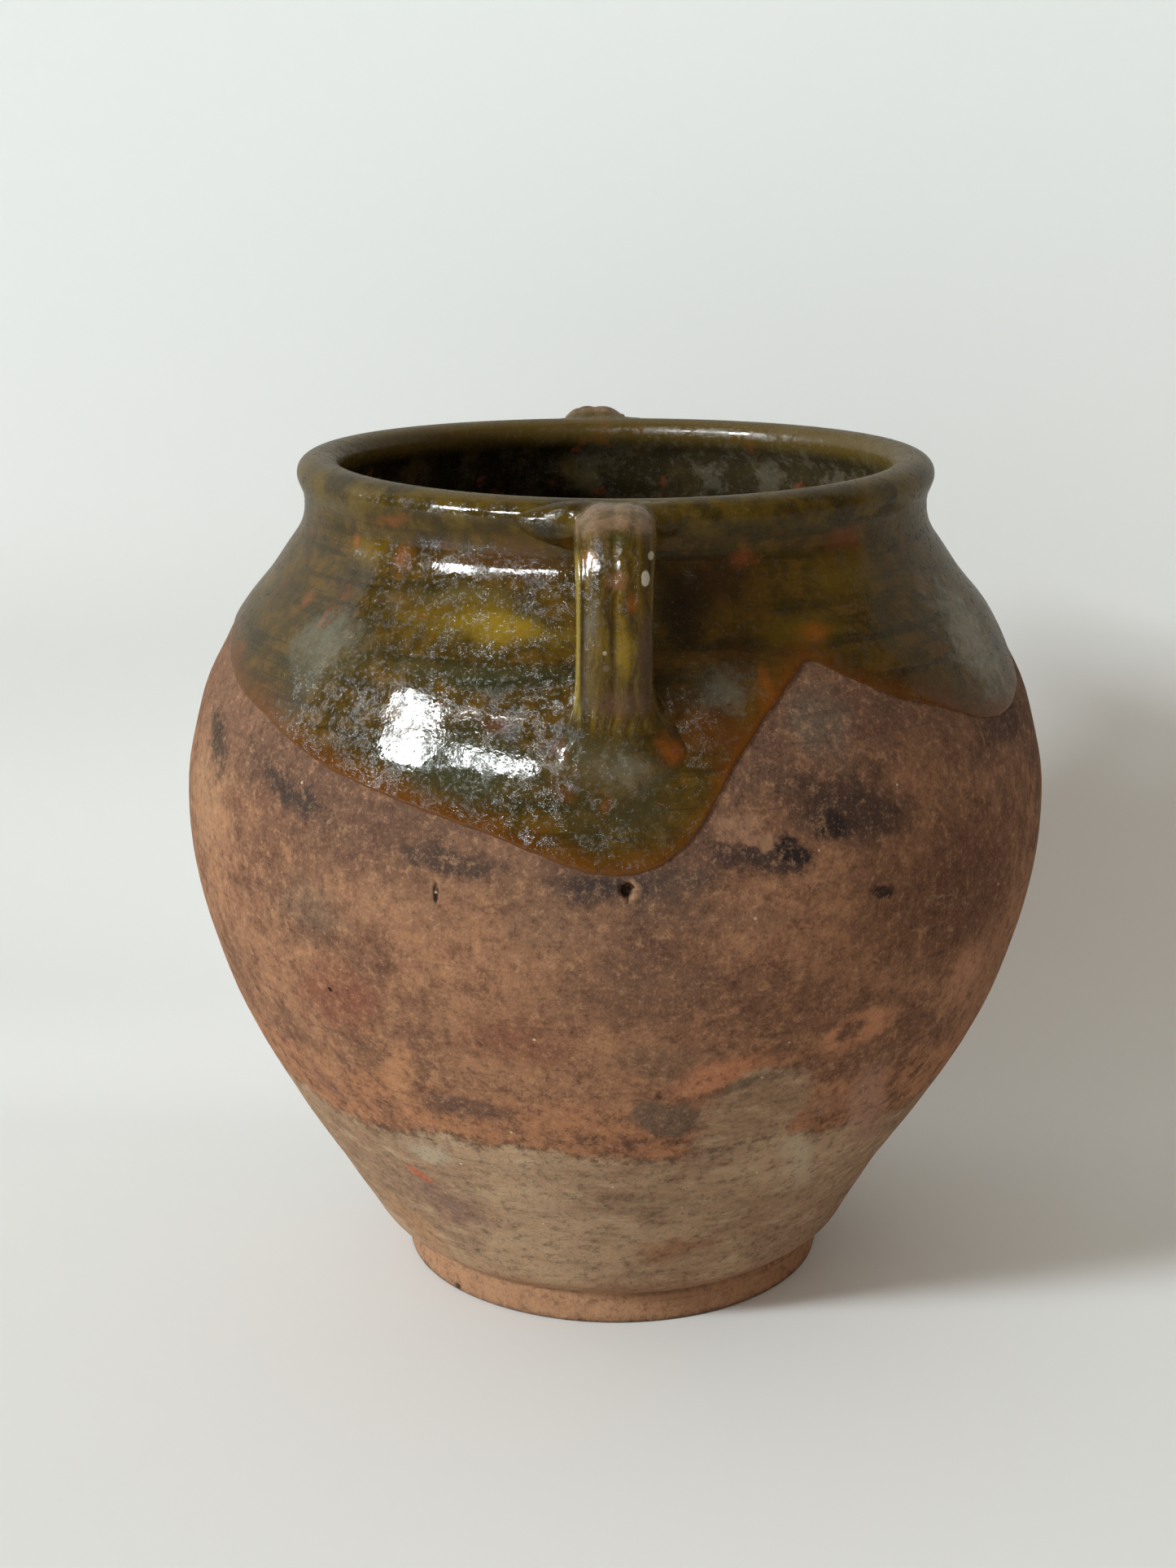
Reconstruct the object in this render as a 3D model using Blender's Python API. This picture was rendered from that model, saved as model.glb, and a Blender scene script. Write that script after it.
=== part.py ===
# Two-handled earthenware storage pot, at its real size in metres.
# +Z is up, the origin is the centre of the foot on the table, and the front handle points to -Y.

import math

import bmesh
import bpy
from mathutils import Vector

# Driving dimensions of the pot, measured over the glaze
POT_HEIGHT = 0.294
BELLY_RADIUS = 0.1506
FOOT_RADIUS = 0.076
FOOT_BAND_HEIGHT = 0.0105
HANDLE_TALL = 0.0588
STRAP_WIDTH = 0.0240

# Belly and neck
BELLY_HEIGHT_SHARE = 0.6327
NECK_RADIUS_SHARE = 0.7078
NECK_DROP = 0.015
BELLY_HEIGHT = POT_HEIGHT * BELLY_HEIGHT_SHARE
NECK_RADIUS = BELLY_RADIUS * NECK_RADIUS_SHARE
NECK_HEIGHT = POT_HEIGHT - NECK_DROP

# Foot
FOOT_EDGE_ROUND = 0.0014
FOOT_GROOVE_DEPTH = 0.001
FOOT_GROOVE_WIDTH = 0.0012
FOOT_FLARE = 0.001
FLARE_RADIUS = FOOT_RADIUS + FOOT_FLARE

# Wall and floor
WALL_THICKNESS = 0.007
FLOOR_THICKNESS = 0.010
FLOOR_CORNER_WIDTH = 0.020
FLOOR_CORNER_HEIGHT = 0.009

# Rolled rim
RIM_RING_INSET = 0.0045
RIM_RING_RADIUS = NECK_RADIUS - RIM_RING_INSET
RIM_HALF_WIDTH = 0.0068
RIM_HALF_HEIGHT = 0.0060

# Glaze
GLAZE_THICKNESS = 0.0005
GLAZE_LOWEST_SHARE = 0.6354
GLAZE_PEAK_SHARE = 0.8337
GLAZE_LOWEST = POT_HEIGHT * GLAZE_LOWEST_SHARE
GLAZE_PEAK = POT_HEIGHT * GLAZE_PEAK_SHARE
GLAZE_CUT_MARGIN = 0.004

# Strap handles, hung from the rim and set on the shoulder
STRAP_THICKNESS = 0.0090
STRAP_RIDGE_DEPTH = 0.0011
HANDLE_CROWN_DROP = 0.0052
HANDLE_STAND_OUT = 0.0009
HANDLE_CROWN_HEIGHT = POT_HEIGHT - HANDLE_CROWN_DROP
HANDLE_FOOT_HEIGHT = HANDLE_CROWN_HEIGHT - HANDLE_TALL
BACK_HANDLE_RISE = 0.0025
BACK_HANDLE_TURN = math.radians(4.0)

# Luting clay pressed round the handle roots
UPPER_LUTING_WIDTH = 0.042
UPPER_LUTING_DEPTH = 0.019
UPPER_LUTING_TALL = 0.0165
UPPER_LUTING_DROP = 0.0125
UPPER_LUTING_OFFSET = 0.0045
LOWER_LUTING_WIDTH = 0.040
LOWER_LUTING_DEPTH = 0.015
LOWER_LUTING_TALL = 0.029
LOWER_LUTING_SINK = 0.0009
LOWER_LUTING_DROP = 0.001

# Fitting
CLEARANCE = 0.0003
WELD_DISTANCE = CLEARANCE / 30
TURN_SEGMENTS = 48
OUTLINE_STEPS = 2
RIM_STEPS = 8
ROUND_STEPS = 2
HANDLE_STEPS = 2
WAD_STEPS = 2

GLAZE_COAT = CLEARANCE + GLAZE_THICKNESS
CREST_HEIGHT = POT_HEIGHT - GLAZE_COAT

# Height share from the foot flare to the belly, and radius share from the flare to the belly
LOWER_WALL_SHARES = (
    (0.049, 0.129),
    (0.186, 0.322),
    (0.370, 0.588),
    (0.560, 0.820),
    (0.780, 0.968),
    (1.000, 1.000),
)

# Height share from the belly to the neck, and radius share from the belly in to the neck
SHOULDER_SHARES = (
    (0.247, 0.130),
    (0.462, 0.322),
    (0.640, 0.560),
    (0.800, 0.825),
    (0.910, 0.965),
    (1.000, 1.000),
)

# Turn share from the front handle towards +X, and height share from the glaze's lowest point to its peak
GLAZE_LINE_SHARES = (
    (0.000, 0.000),
    (0.014, 0.040),
    (0.023, 0.140),
    (0.031, 0.320),
    (0.040, 0.528),
    (0.054, 0.748),
    (0.067, 0.907),
    (0.077, 1.000),
    (0.092, 0.894),
    (0.111, 0.760),
    (0.135, 0.653),
    (0.159, 0.528),
    (0.180, 0.521),
    (0.215, 0.593),
    (0.245, 0.880),
    (0.270, 0.950),
    (0.300, 0.760),
    (0.340, 0.560),
    (0.385, 0.470),
    (0.430, 0.330),
    (0.468, 0.120),
    (0.495, 0.060),
    (0.530, 0.130),
    (0.570, 0.330),
    (0.610, 0.520),
    (0.655, 0.780),
    (0.690, 0.960),
    (0.725, 0.900),
    (0.772, 0.840),
    (0.821, 0.669),
    (0.856, 0.573),
    (0.894, 0.413),
    (0.929, 0.302),
    (0.959, 0.202),
    (0.986, 0.038),
    (1.000, 0.000),
)

# Reach share from the root at the rim, and height share from the foot of the handle to its crown
HANDLE_LINE_SHARES = (
    (0.000, 0.952),
    (0.149, 0.983),
    (0.348, 1.000),
    (0.546, 0.980),
    (0.725, 0.918),
    (0.861, 0.825),
    (0.950, 0.684),
    (0.990, 0.486),
    (1.000, 0.289),
    (0.970, 0.128),
    (0.930, 0.000),
    (0.810, -0.110),
)

# Width share and thickness share of the strap at each point of the handle line
STRAP_SIZE_SHARES = (
    (1.22, 1.10),
    (1.12, 1.05),
    (1.04, 1.00),
    (1.01, 1.00),
    (0.99, 0.98),
    (0.96, 0.95),
    (0.94, 0.93),
    (0.92, 0.93),
    (0.93, 0.96),
    (1.00, 1.02),
    (1.12, 1.08),
    (1.24, 1.10),
)

# Half width share and half thickness share of the strap's section, from one edge over the outer face
STRAP_SECTION_SHARES = (
    (-1.00, 0.00),
    (-0.95, 0.45),
    (-0.78, 0.80),
    (-0.58, 0.93),
    (-0.36, 0.96),
    (0.00, 1.00),
    (0.36, 0.96),
    (0.58, 0.93),
    (0.78, 0.80),
    (0.95, 0.45),
    (1.00, 0.00),
    (0.90, -0.55),
    (0.55, -0.90),
    (0.00, -1.00),
    (-0.55, -0.90),
    (-0.90, -0.55),
)
STRAP_GROOVE_PLACES = (4, 6)


def clear_scene():
    for old in list(bpy.data.objects):
        bpy.data.objects.remove(old, do_unlink=True)


def clay_material(name, colour, roughness):
    material = bpy.data.materials.new(name)
    material.use_nodes = True
    shader = material.node_tree.nodes["Principled BSDF"]
    shader.inputs["Base Color"].default_value = (*colour, 1.0)
    shader.inputs["Roughness"].default_value = roughness
    shader.inputs["Metallic"].default_value = 0.0
    material.diffuse_color = (*colour, 1.0)
    return material


def smooth_line(points, steps):
    """Points of a Catmull-Rom curve through the given points, with this many steps between two."""
    ends = [2 * points[0] - points[1], *points, 2 * points[-1] - points[-2]]
    line = []
    for before, start, end, after in zip(ends, ends[1:], ends[2:], ends[3:]):
        for step in range(steps):
            t = step / steps
            bend = 2 * before - 5 * start + 4 * end - after
            twist = 3 * (start - end) + after - before
            line.append(start + 0.5 * t * ((end - before) + t * (bend + t * twist)))
    return [*line, points[-1]]


def arc(centre, half_width, half_height, first_angle, last_angle, steps):
    angles = [first_angle + (last_angle - first_angle) * i / steps for i in range(steps + 1)]
    return [
        centre + Vector((half_width * math.cos(angle), half_height * math.sin(angle)))
        for angle in angles
    ]


def wall_line():
    """Radius and height of the clay's outer face, from the foot flare up to the neck."""
    flare_height = FOOT_BAND_HEIGHT + FOOT_GROOVE_WIDTH
    points = [Vector((FLARE_RADIUS, flare_height))]
    for height_share, radius_share in LOWER_WALL_SHARES:
        radius = FLARE_RADIUS + (BELLY_RADIUS - FLARE_RADIUS) * radius_share
        height = flare_height + (BELLY_HEIGHT - flare_height) * height_share
        points.append(Vector((radius, height)))
    for height_share, radius_share in SHOULDER_SHARES:
        radius = BELLY_RADIUS - (BELLY_RADIUS - NECK_RADIUS) * radius_share
        height = BELLY_HEIGHT + (NECK_HEIGHT - BELLY_HEIGHT) * height_share
        points.append(Vector((radius, height)))
    return smooth_line(points, OUTLINE_STEPS)


def foot_line():
    """Radius and height of the foot's outer face, from the flat base up to its groove."""
    round_centre = Vector((FOOT_RADIUS - FOOT_EDGE_ROUND, FOOT_EDGE_ROUND))
    edge = arc(round_centre, FOOT_EDGE_ROUND, FOOT_EDGE_ROUND, -math.pi / 2, 0, ROUND_STEPS)
    band_top = Vector((FOOT_RADIUS, FOOT_BAND_HEIGHT))
    groove = Vector((FOOT_RADIUS - FOOT_GROOVE_DEPTH, FOOT_BAND_HEIGHT + FOOT_GROOVE_WIDTH / 2))
    return [*edge, band_top, groove]


def rim_line():
    """Radius and height of the rolled rim, from under its outer face over the crest to the inside."""
    centre = Vector((RIM_RING_RADIUS, CREST_HEIGHT - RIM_HALF_HEIGHT))
    return arc(
        centre, RIM_HALF_WIDTH, RIM_HALF_HEIGHT, math.radians(-42), math.radians(222), RIM_STEPS
    )


def sideways(line, index):
    """Unit normal of the line at one point, to the right of its direction."""
    before = line[max(index - 1, 0)]
    after = line[min(index + 1, len(line) - 1)]
    along = (after - before).normalized()
    return Vector((along.y, -along.x))


def moved_out(line, distance):
    return [point + distance * sideways(line, i) for i, point in enumerate(line)]


def radius_at(line, height):
    """Radius of a rising line where it passes a height."""
    for low, high in zip(line, line[1:]):
        if low.y <= height <= high.y:
            return low.x + (high.x - low.x) * (height - low.y) / (high.y - low.y)
    return line[0].x


def inner_wall_line():
    """Radius and height of the clay's inner face, from the neck down to the round floor corner."""
    inside = moved_out(wall_line()[::OUTLINE_STEPS], -WALL_THICKNESS)
    corner_top = FLOOR_THICKNESS + FLOOR_CORNER_HEIGHT
    kept = [point for point in reversed(inside) if point.y > corner_top + CLEARANCE]
    corner_centre = Vector((radius_at(inside, corner_top) - FLOOR_CORNER_WIDTH, corner_top))
    corner = arc(
        corner_centre, FLOOR_CORNER_WIDTH, FLOOR_CORNER_HEIGHT, 0, -math.pi / 2, ROUND_STEPS + 1
    )
    return [*kept, *corner]


def turned_object(name, line, closed, material):
    """A solid of revolution about Z. A closed line is a ring's section, and an open one ends on the axis."""
    mesh = bpy.data.meshes.new(name)
    shape = bmesh.new()
    corners = [shape.verts.new((point.x, 0, point.y)) for point in line]
    pairs = list(zip(corners, corners[1:]))
    if closed:
        pairs.append((corners[-1], corners[0]))
    edges = [shape.edges.new(pair) for pair in pairs]
    bmesh.ops.spin(
        shape,
        geom=[*corners, *edges],
        cent=(0, 0, 0),
        axis=(0, 0, 1),
        angle=math.tau,
        steps=TURN_SEGMENTS,
        use_merge=True,
    )
    bmesh.ops.remove_doubles(shape, verts=shape.verts, dist=WELD_DISTANCE)
    bmesh.ops.recalc_face_normals(shape, faces=shape.faces)
    return finished_object(name, mesh, shape, material)


def finished_object(name, mesh, shape, material):
    shape.to_mesh(mesh)
    shape.free()
    mesh.shade_smooth()
    mesh.set_sharp_from_angle(angle=math.radians(50))
    piece = bpy.data.objects.new(name, mesh)
    bpy.context.scene.collection.objects.link(piece)
    if material:
        mesh.materials.append(material)
    else:
        piece.hide_render = True
        piece.display_type = "WIRE"
    return piece


def cut(piece, cutter):
    modifier = piece.modifiers.new(f"cut_by_{cutter.name}", "BOOLEAN")
    modifier.operation = "DIFFERENCE"
    modifier.solver = "EXACT"
    modifier.object = cutter


def body_outer_line(growth=0.0):
    """The whole outer face of the clay from the base to the rim's inside, moved out by a growth."""
    line = [*foot_line(), *wall_line(), *rim_line()]
    return moved_out(line, growth)


def make_body(material):
    base_centre = Vector((0, 0))
    floor_centre = Vector((0, FLOOR_THICKNESS))
    line = [base_centre, *body_outer_line(), *inner_wall_line(), floor_centre]
    return turned_object("pot_body", line, False, material)


def make_body_cutter():
    """The body's outer form as a plain block, grown by the clearance, to shape what is pressed on it."""
    outside = body_outer_line(CLEARANCE)
    line = [Vector((0, outside[0].y)), *outside, Vector((0, outside[-1].y))]
    return turned_object("body_cutter", line, False, None)


def coat_over(line):
    """Closed ring section of a glaze coat that lies over a line, one clearance away from it."""
    near = moved_out(line, CLEARANCE)
    far = moved_out(line, GLAZE_COAT)
    return [*near, *reversed(far)]


def split_rim_line():
    """The rim line in two, parted at the crest."""
    rim = rim_line()
    crest = max(range(len(rim)), key=lambda i: rim[i].y)
    return rim[: crest + 1], rim[crest:]


def make_outer_glaze(material):
    outer_rim, _ = split_rim_line()
    lowest = GLAZE_LOWEST - GLAZE_CUT_MARGIN
    wall = wall_line()
    first = max(i for i, point in enumerate(wall) if point.y < lowest)
    coat = turned_object("outer_glaze_coat", coat_over([*wall[first:], *outer_rim]), True, material)
    cut(coat, make_glaze_line_cutter(wall[first].y - GLAZE_CUT_MARGIN))
    return coat


def make_inner_glaze(material):
    _, inner_rim = split_rim_line()
    first, second = inner_rim[0], inner_rim[1]
    parted = first + (second - first).normalized() * CLEARANCE
    line = [parted, *inner_rim[1:], *inner_wall_line()]
    near = moved_out(line, CLEARANCE)
    far = moved_out(line, GLAZE_COAT)
    near_centre = Vector((0, near[-1].y))
    far_centre = Vector((0, far[-1].y))
    section = [near_centre, *reversed(near), *far, far_centre]
    return turned_object("inner_glaze_lining", section, False, material)


def glaze_line_height(turn):
    """Height of the glaze's lower edge at a turn share from the front handle."""
    for (start, low), (end, high) in zip(GLAZE_LINE_SHARES, GLAZE_LINE_SHARES[1:]):
        if start <= turn <= end:
            share = low + (high - low) * (turn - start) / (end - start)
            return GLAZE_LOWEST + (GLAZE_PEAK - GLAZE_LOWEST) * share
    return GLAZE_LOWEST


def make_glaze_line_cutter(bottom):
    """A skirt that fills all that lies under the poured edge of the glaze."""
    inner_radius = NECK_RADIUS
    outer_radius = BELLY_RADIUS + GLAZE_COAT + GLAZE_CUT_MARGIN
    shape = bmesh.new()
    rings = []
    for i in range(TURN_SEGMENTS):
        turn = i / TURN_SEGMENTS
        angle = math.tau * turn - math.pi / 2
        top = glaze_line_height(turn)
        places = ((inner_radius, bottom), (outer_radius, bottom), (outer_radius, top), (inner_radius, top))
        across, forward = math.cos(angle), math.sin(angle)
        rings.append([shape.verts.new((r * across, r * forward, z)) for r, z in places])
    for ring, following in zip(rings, [*rings[1:], rings[0]]):
        for k, corner in enumerate(ring):
            after = (k + 1) % len(ring)
            shape.faces.new((corner, ring[after], following[after], following[k]))
    bmesh.ops.recalc_face_normals(shape, faces=shape.faces)
    return finished_object("glaze_line_cutter", bpy.data.meshes.new("glaze_line_cutter"), shape, None)


def handle_line(rise):
    """Radius and height along the middle of a strap, from the rim out and down to the shoulder."""
    reach = radius_at(wall_line(), HANDLE_FOOT_HEIGHT) + HANDLE_STAND_OUT
    points = []
    for reach_share, height_share in HANDLE_LINE_SHARES:
        radius = NECK_RADIUS + (reach - NECK_RADIUS) * reach_share
        height = HANDLE_FOOT_HEIGHT + HANDLE_TALL * height_share + rise * max(height_share, 0)
        points.append(Vector((radius, height)))
    return smooth_line(points, HANDLE_STEPS)


def turned_about_axis(place, turn):
    """A place given across, outwards and up, turned about the pot's axis from the front."""
    across, out, up = place
    cosine, sine = math.cos(turn), math.sin(turn)
    return Vector((across * cosine + out * sine, across * sine - out * cosine, up))


def make_strap(name, turn, rise, growth, material):
    """A pulled strap: its section is swept along the handle line and widens at both roots."""
    line = handle_line(rise)
    sizes = smooth_line([Vector(pair) for pair in STRAP_SIZE_SHARES], HANDLE_STEPS)
    shape = bmesh.new()
    rings = []
    for i, (middle, size) in enumerate(zip(line, sizes)):
        outward = -sideways(line, i)
        half_width = STRAP_WIDTH / 2 * size.x + growth
        half_thickness = STRAP_THICKNESS / 2 * size.y + growth
        ring = []
        for k, (width_share, thickness_share) in enumerate(STRAP_SECTION_SHARES):
            lift = half_thickness * thickness_share
            if k in STRAP_GROOVE_PLACES:
                lift -= STRAP_RIDGE_DEPTH
            spot = middle + outward * lift
            ring.append(turned_about_axis((half_width * width_share, spot.x, spot.y), turn))
        rings.append([shape.verts.new(corner) for corner in ring])
    for ring, following in zip(rings, rings[1:]):
        for k, corner in enumerate(ring):
            after = (k + 1) % len(ring)
            shape.faces.new((corner, ring[after], following[after], following[k]))
    shape.faces.new(rings[0])
    shape.faces.new(rings[-1])
    bmesh.ops.recalc_face_normals(shape, faces=shape.faces)
    return finished_object(name, bpy.data.meshes.new(name), shape, material)


def make_wad(name, turn, place, size, slope, growth, material):
    """A pressed wad of clay: a flattened ball that is tilted with the wall that it sits on."""
    across, out, up = place
    shape = bmesh.new()
    bmesh.ops.create_icosphere(shape, subdivisions=WAD_STEPS, radius=1.0)
    for corner in shape.verts:
        wide = corner.co.x * (size[0] / 2 + growth)
        deep = corner.co.y * (size[1] / 2 + growth)
        tall = corner.co.z * (size[2] / 2 + growth)
        leaning_out = deep * math.cos(slope) - tall * math.sin(slope)
        leaning_up = deep * math.sin(slope) + tall * math.cos(slope)
        spot = (across + wide, out + leaning_out, up + leaning_up)
        corner.co = turned_about_axis(spot, turn)
    shape.normal_update()
    bmesh.ops.recalc_face_normals(shape, faces=shape.faces)
    return finished_object(name, bpy.data.meshes.new(name), shape, material)


def make_upper_wad(name, turn, rise, growth, material):
    height = POT_HEIGHT - UPPER_LUTING_DROP + rise / 2
    place = (-UPPER_LUTING_OFFSET, NECK_RADIUS, height)
    size = (UPPER_LUTING_WIDTH, UPPER_LUTING_DEPTH, UPPER_LUTING_TALL)
    return make_wad(name, turn, place, size, 0.0, growth, material)


def make_lower_wad(name, turn, growth, material):
    wall = wall_line()
    height = HANDLE_FOOT_HEIGHT - LOWER_LUTING_DROP
    radius = radius_at(wall, height)
    fall = radius_at(wall, height - LOWER_LUTING_TALL / 2) - radius_at(wall, height + LOWER_LUTING_TALL / 2)
    slope = math.atan2(fall, LOWER_LUTING_TALL)
    place = (0.0, radius - LOWER_LUTING_SINK, height)
    size = (LOWER_LUTING_WIDTH, LOWER_LUTING_DEPTH, LOWER_LUTING_TALL)
    return make_wad(name, turn, place, size, slope, growth, material)


def make_handle(side, turn, rise, body_cutter, coat, materials):
    """One handle with its two wads of luting clay, and the windows that they leave in the glaze coat."""
    strap = make_strap(f"{side}_handle", turn, rise, 0.0, materials["handle"])
    upper = make_upper_wad(f"{side}_upper_luting", turn, rise, 0.0, materials["luting"])
    lower = make_lower_wad(f"{side}_lower_luting", turn, 0.0, materials["luting"])
    strap_cutter = make_strap(f"{side}_strap_cutter", turn, rise, CLEARANCE, None)
    upper_cutter = make_upper_wad(f"{side}_upper_cutter", turn, rise, CLEARANCE, None)
    lower_cutter = make_lower_wad(f"{side}_lower_cutter", turn, CLEARANCE, None)
    for piece in (strap, upper, lower):
        cut(piece, body_cutter)
    for wad in (upper, lower):
        cut(wad, strap_cutter)
    for cutter in (strap_cutter, upper_cutter, lower_cutter):
        cut(coat, cutter)


def main():
    clear_scene()
    materials = {
        "clay": clay_material("bare_terracotta", (0.33, 0.17, 0.105), 0.85),
        "outer_glaze": clay_material("olive_glaze", (0.10, 0.075, 0.015), 0.18),
        "inner_glaze": clay_material("dark_lining_glaze", (0.035, 0.032, 0.018), 0.2),
        "handle": clay_material("ochre_glazed_clay", (0.17, 0.11, 0.03), 0.25),
        "luting": clay_material("brown_glazed_clay", (0.11, 0.075, 0.035), 0.3),
    }
    make_body(materials["clay"])
    body_cutter = make_body_cutter()
    coat = make_outer_glaze(materials["outer_glaze"])
    make_inner_glaze(materials["inner_glaze"])
    make_handle("front", 0.0, 0.0, body_cutter, coat, materials)
    make_handle("back", math.pi + BACK_HANDLE_TURN, BACK_HANDLE_RISE, body_cutter, coat, materials)


main()
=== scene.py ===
import math

import bpy
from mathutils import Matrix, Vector, noise


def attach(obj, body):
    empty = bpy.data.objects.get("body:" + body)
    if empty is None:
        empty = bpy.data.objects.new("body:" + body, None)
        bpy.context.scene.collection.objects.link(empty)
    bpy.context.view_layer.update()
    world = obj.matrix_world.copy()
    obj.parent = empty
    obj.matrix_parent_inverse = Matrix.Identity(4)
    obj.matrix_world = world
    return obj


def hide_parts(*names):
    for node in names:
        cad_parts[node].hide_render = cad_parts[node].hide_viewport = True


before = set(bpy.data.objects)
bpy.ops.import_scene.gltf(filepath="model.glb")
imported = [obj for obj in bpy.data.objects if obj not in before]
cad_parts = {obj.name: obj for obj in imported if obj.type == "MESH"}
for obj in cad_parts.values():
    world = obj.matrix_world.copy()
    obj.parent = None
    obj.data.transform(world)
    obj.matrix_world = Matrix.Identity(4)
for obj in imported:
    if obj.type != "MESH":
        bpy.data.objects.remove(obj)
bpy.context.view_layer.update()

# Thrown body.
# Foot, floor, belly, shoulder, neck and rolled rim, thrown from one lump of coarse red clay and trimmed
# at the foot. It was fired once and stays bare below the poured glaze. Everything else is fixed to it.
MM = 0.001
WALL = 7.0 * MM
WHEEL_STEPS = 240
WELD = 0.02 * MM
CREASE = math.radians(50)
# Radius and height of the section's points, in millimetres: under the foot, the groove over it, wall and rim
FOOT_FACE = (
    (0.0, 0.9), (30.0, 0.8), (58.0, 0.6), (66.0, 0.25), (72.0, 0.0), (74.8, 0.0), (75.7, 0.4), (76.0, 1.3),
    (76.1, 5.0), (76.0, 9.6),
)
FOOT_GROOVE = ((75.75, 10.5), (75.7, 11.0), (76.15, 11.6), (77.0, 12.2))
WALL_LINE = (
    (77.0, 12.2), (81.6, 15.5), (86.5, 20.0), (92.3, 30.0), (100.7, 44.0), (109.9, 59.0), (120.3, 76.0),
    (130.4, 94.0), (142.5, 124.0), (149.2, 154.0), (150.5, 184.0), (145.3, 209.0), (136.6, 229.0),
    (127.3, 244.0), (118.0, 256.0), (110.5, 266.0), (107.4, 274.0), (106.8, 279.0),
)
RIM_LINE = (
    (107.2, 282.0), (108.3, 284.6), (109.1, 287.2), (108.9, 289.6), (107.6, 291.6), (105.2, 293.0),
    (102.0, 293.5), (98.9, 293.1), (96.7, 291.9), (95.5, 290.0), (95.3, 287.6), (96.0, 285.0), (97.6, 282.2),
)
FLOOR_CORNER = ((78.5, 19.5), (74.0, 14.6), (66.0, 11.6), (54.0, 10.3), (30.0, 10.0), (0.0, 10.0))
INSIDE_FOOT = 24 * MM
# Height, half height and swell of the rings that the potter's fingers left, in millimetres
FINGER_RINGS = (
    (271.0, 4.0, -0.35), (263.5, 4.5, 0.45), (252.5, 6.0, -0.45), (241.5, 4.5, 0.35), (234.0, 1.3, 0.35),
    (228.5, 5.0, -0.25), (217.0, 7.0, 0.30), (199.0, 8.0, -0.25), (160.0, 12.0, 0.20), (128.0, 9.0, -0.25),
    (108.0, 6.0, 0.25), (88.0, 5.0, -0.25), (66.0, 7.0, 0.25), (47.0, 6.0, -0.3),
)


def smooth_line(points, steps):
    """Points of a smooth curve through the given radius and height pairs."""
    spots = [Vector(point) for point in points]
    ends = [2 * spots[0] - spots[1], *spots, 2 * spots[-1] - spots[-2]]
    line = []
    for before, start, end, after in zip(ends, ends[1:], ends[2:], ends[3:]):
        for step in range(steps):
            t = step / steps
            bend = 2 * before - 5 * start + 4 * end - after
            twist = 3 * (start - end) + after - before
            line.append(start + 0.5 * t * ((end - before) + t * (bend + t * twist)))
    return [*line, spots[-1]]


def with_finger_rings(line):
    ringed = []
    for point in line:
        swell = sum(size * math.exp(-(((point.y - height) / half) ** 2)) for height, half, size in FINGER_RINGS)
        ringed.append(Vector((point.x + swell, point.y)))
    return ringed


def beside(line, distance):
    """The line moved to its right by a distance."""
    moved = []
    for i, point in enumerate(line):
        along = (line[min(i + 1, len(line) - 1)] - line[max(i - 1, 0)]).normalized()
        moved.append(point + distance * Vector((along.y, -along.x)))
    return moved


clay_wall = [MM * point for point in with_finger_rings(smooth_line(WALL_LINE, 5))]
clay_rim = [MM * point for point in smooth_line(RIM_LINE, 3)]
foot_line = [MM * Vector(point) for point in (*FOOT_FACE, *FOOT_GROOVE)]


def radius_at(height, line, beyond):
    """The line's radius at a height, or the one at another point where the line doesn't reach."""
    for low, high in zip(line, line[1:]):
        if low.y <= height <= high.y:
            return low.x + (high.x - low.x) * (height - low.y) / (high.y - low.y)
    return beyond.x


def place_on_wall(degrees, height_mm):
    """A point on the clay's outer face, by its turn from the front handle and its height."""
    turn, height = math.radians(degrees), height_mm * MM
    radius = radius_at(height, clay_wall, clay_wall[-1])
    return Vector((radius * math.sin(turn), -radius * math.cos(turn), height))


def ramp(value, start, run):
    """0 up to the start, and 1 once the value is a run past it."""
    return min(max((value - start) / run, 0.0), 1.0)


# How far the pot dried out of true: the rim sags front and back, the lower wall leans left, the wall has dents.
# The sag and the dents grow from a height over a run.
SADDLE, LEAN, DENT, DENTS_A_METRE = 0.7 * MM, 1.3 * MM, 0.5 * MM, 16
SADDLE_FROM, DENTS_FROM = (250 * MM, 40 * MM), (4 * MM, 20 * MM)
LEAN_HEIGHT, LEAN_HALF = 50 * MM, 30 * MM


def settled(place):
    """Where a point of the true turned form lies on the real pot."""
    turn = math.atan2(place.x, -place.y)
    rim_share = ramp(place.z, *SADDLE_FROM)
    saddle = -SADDLE * (1 + math.cos(2 * turn)) * rim_share
    lean = -LEAN * math.exp(-(((place.z - LEAN_HEIGHT) / LEAN_HALF) ** 2))
    wall_share = ramp(place.z, *DENTS_FROM) * (1 - rim_share)
    dent = DENT * noise.noise(place * DENTS_A_METRE) * wall_share
    outward = Vector((place.x, place.y, 0)).normalized()
    return place + outward * dent + Vector((lean, 0, saddle))


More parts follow.
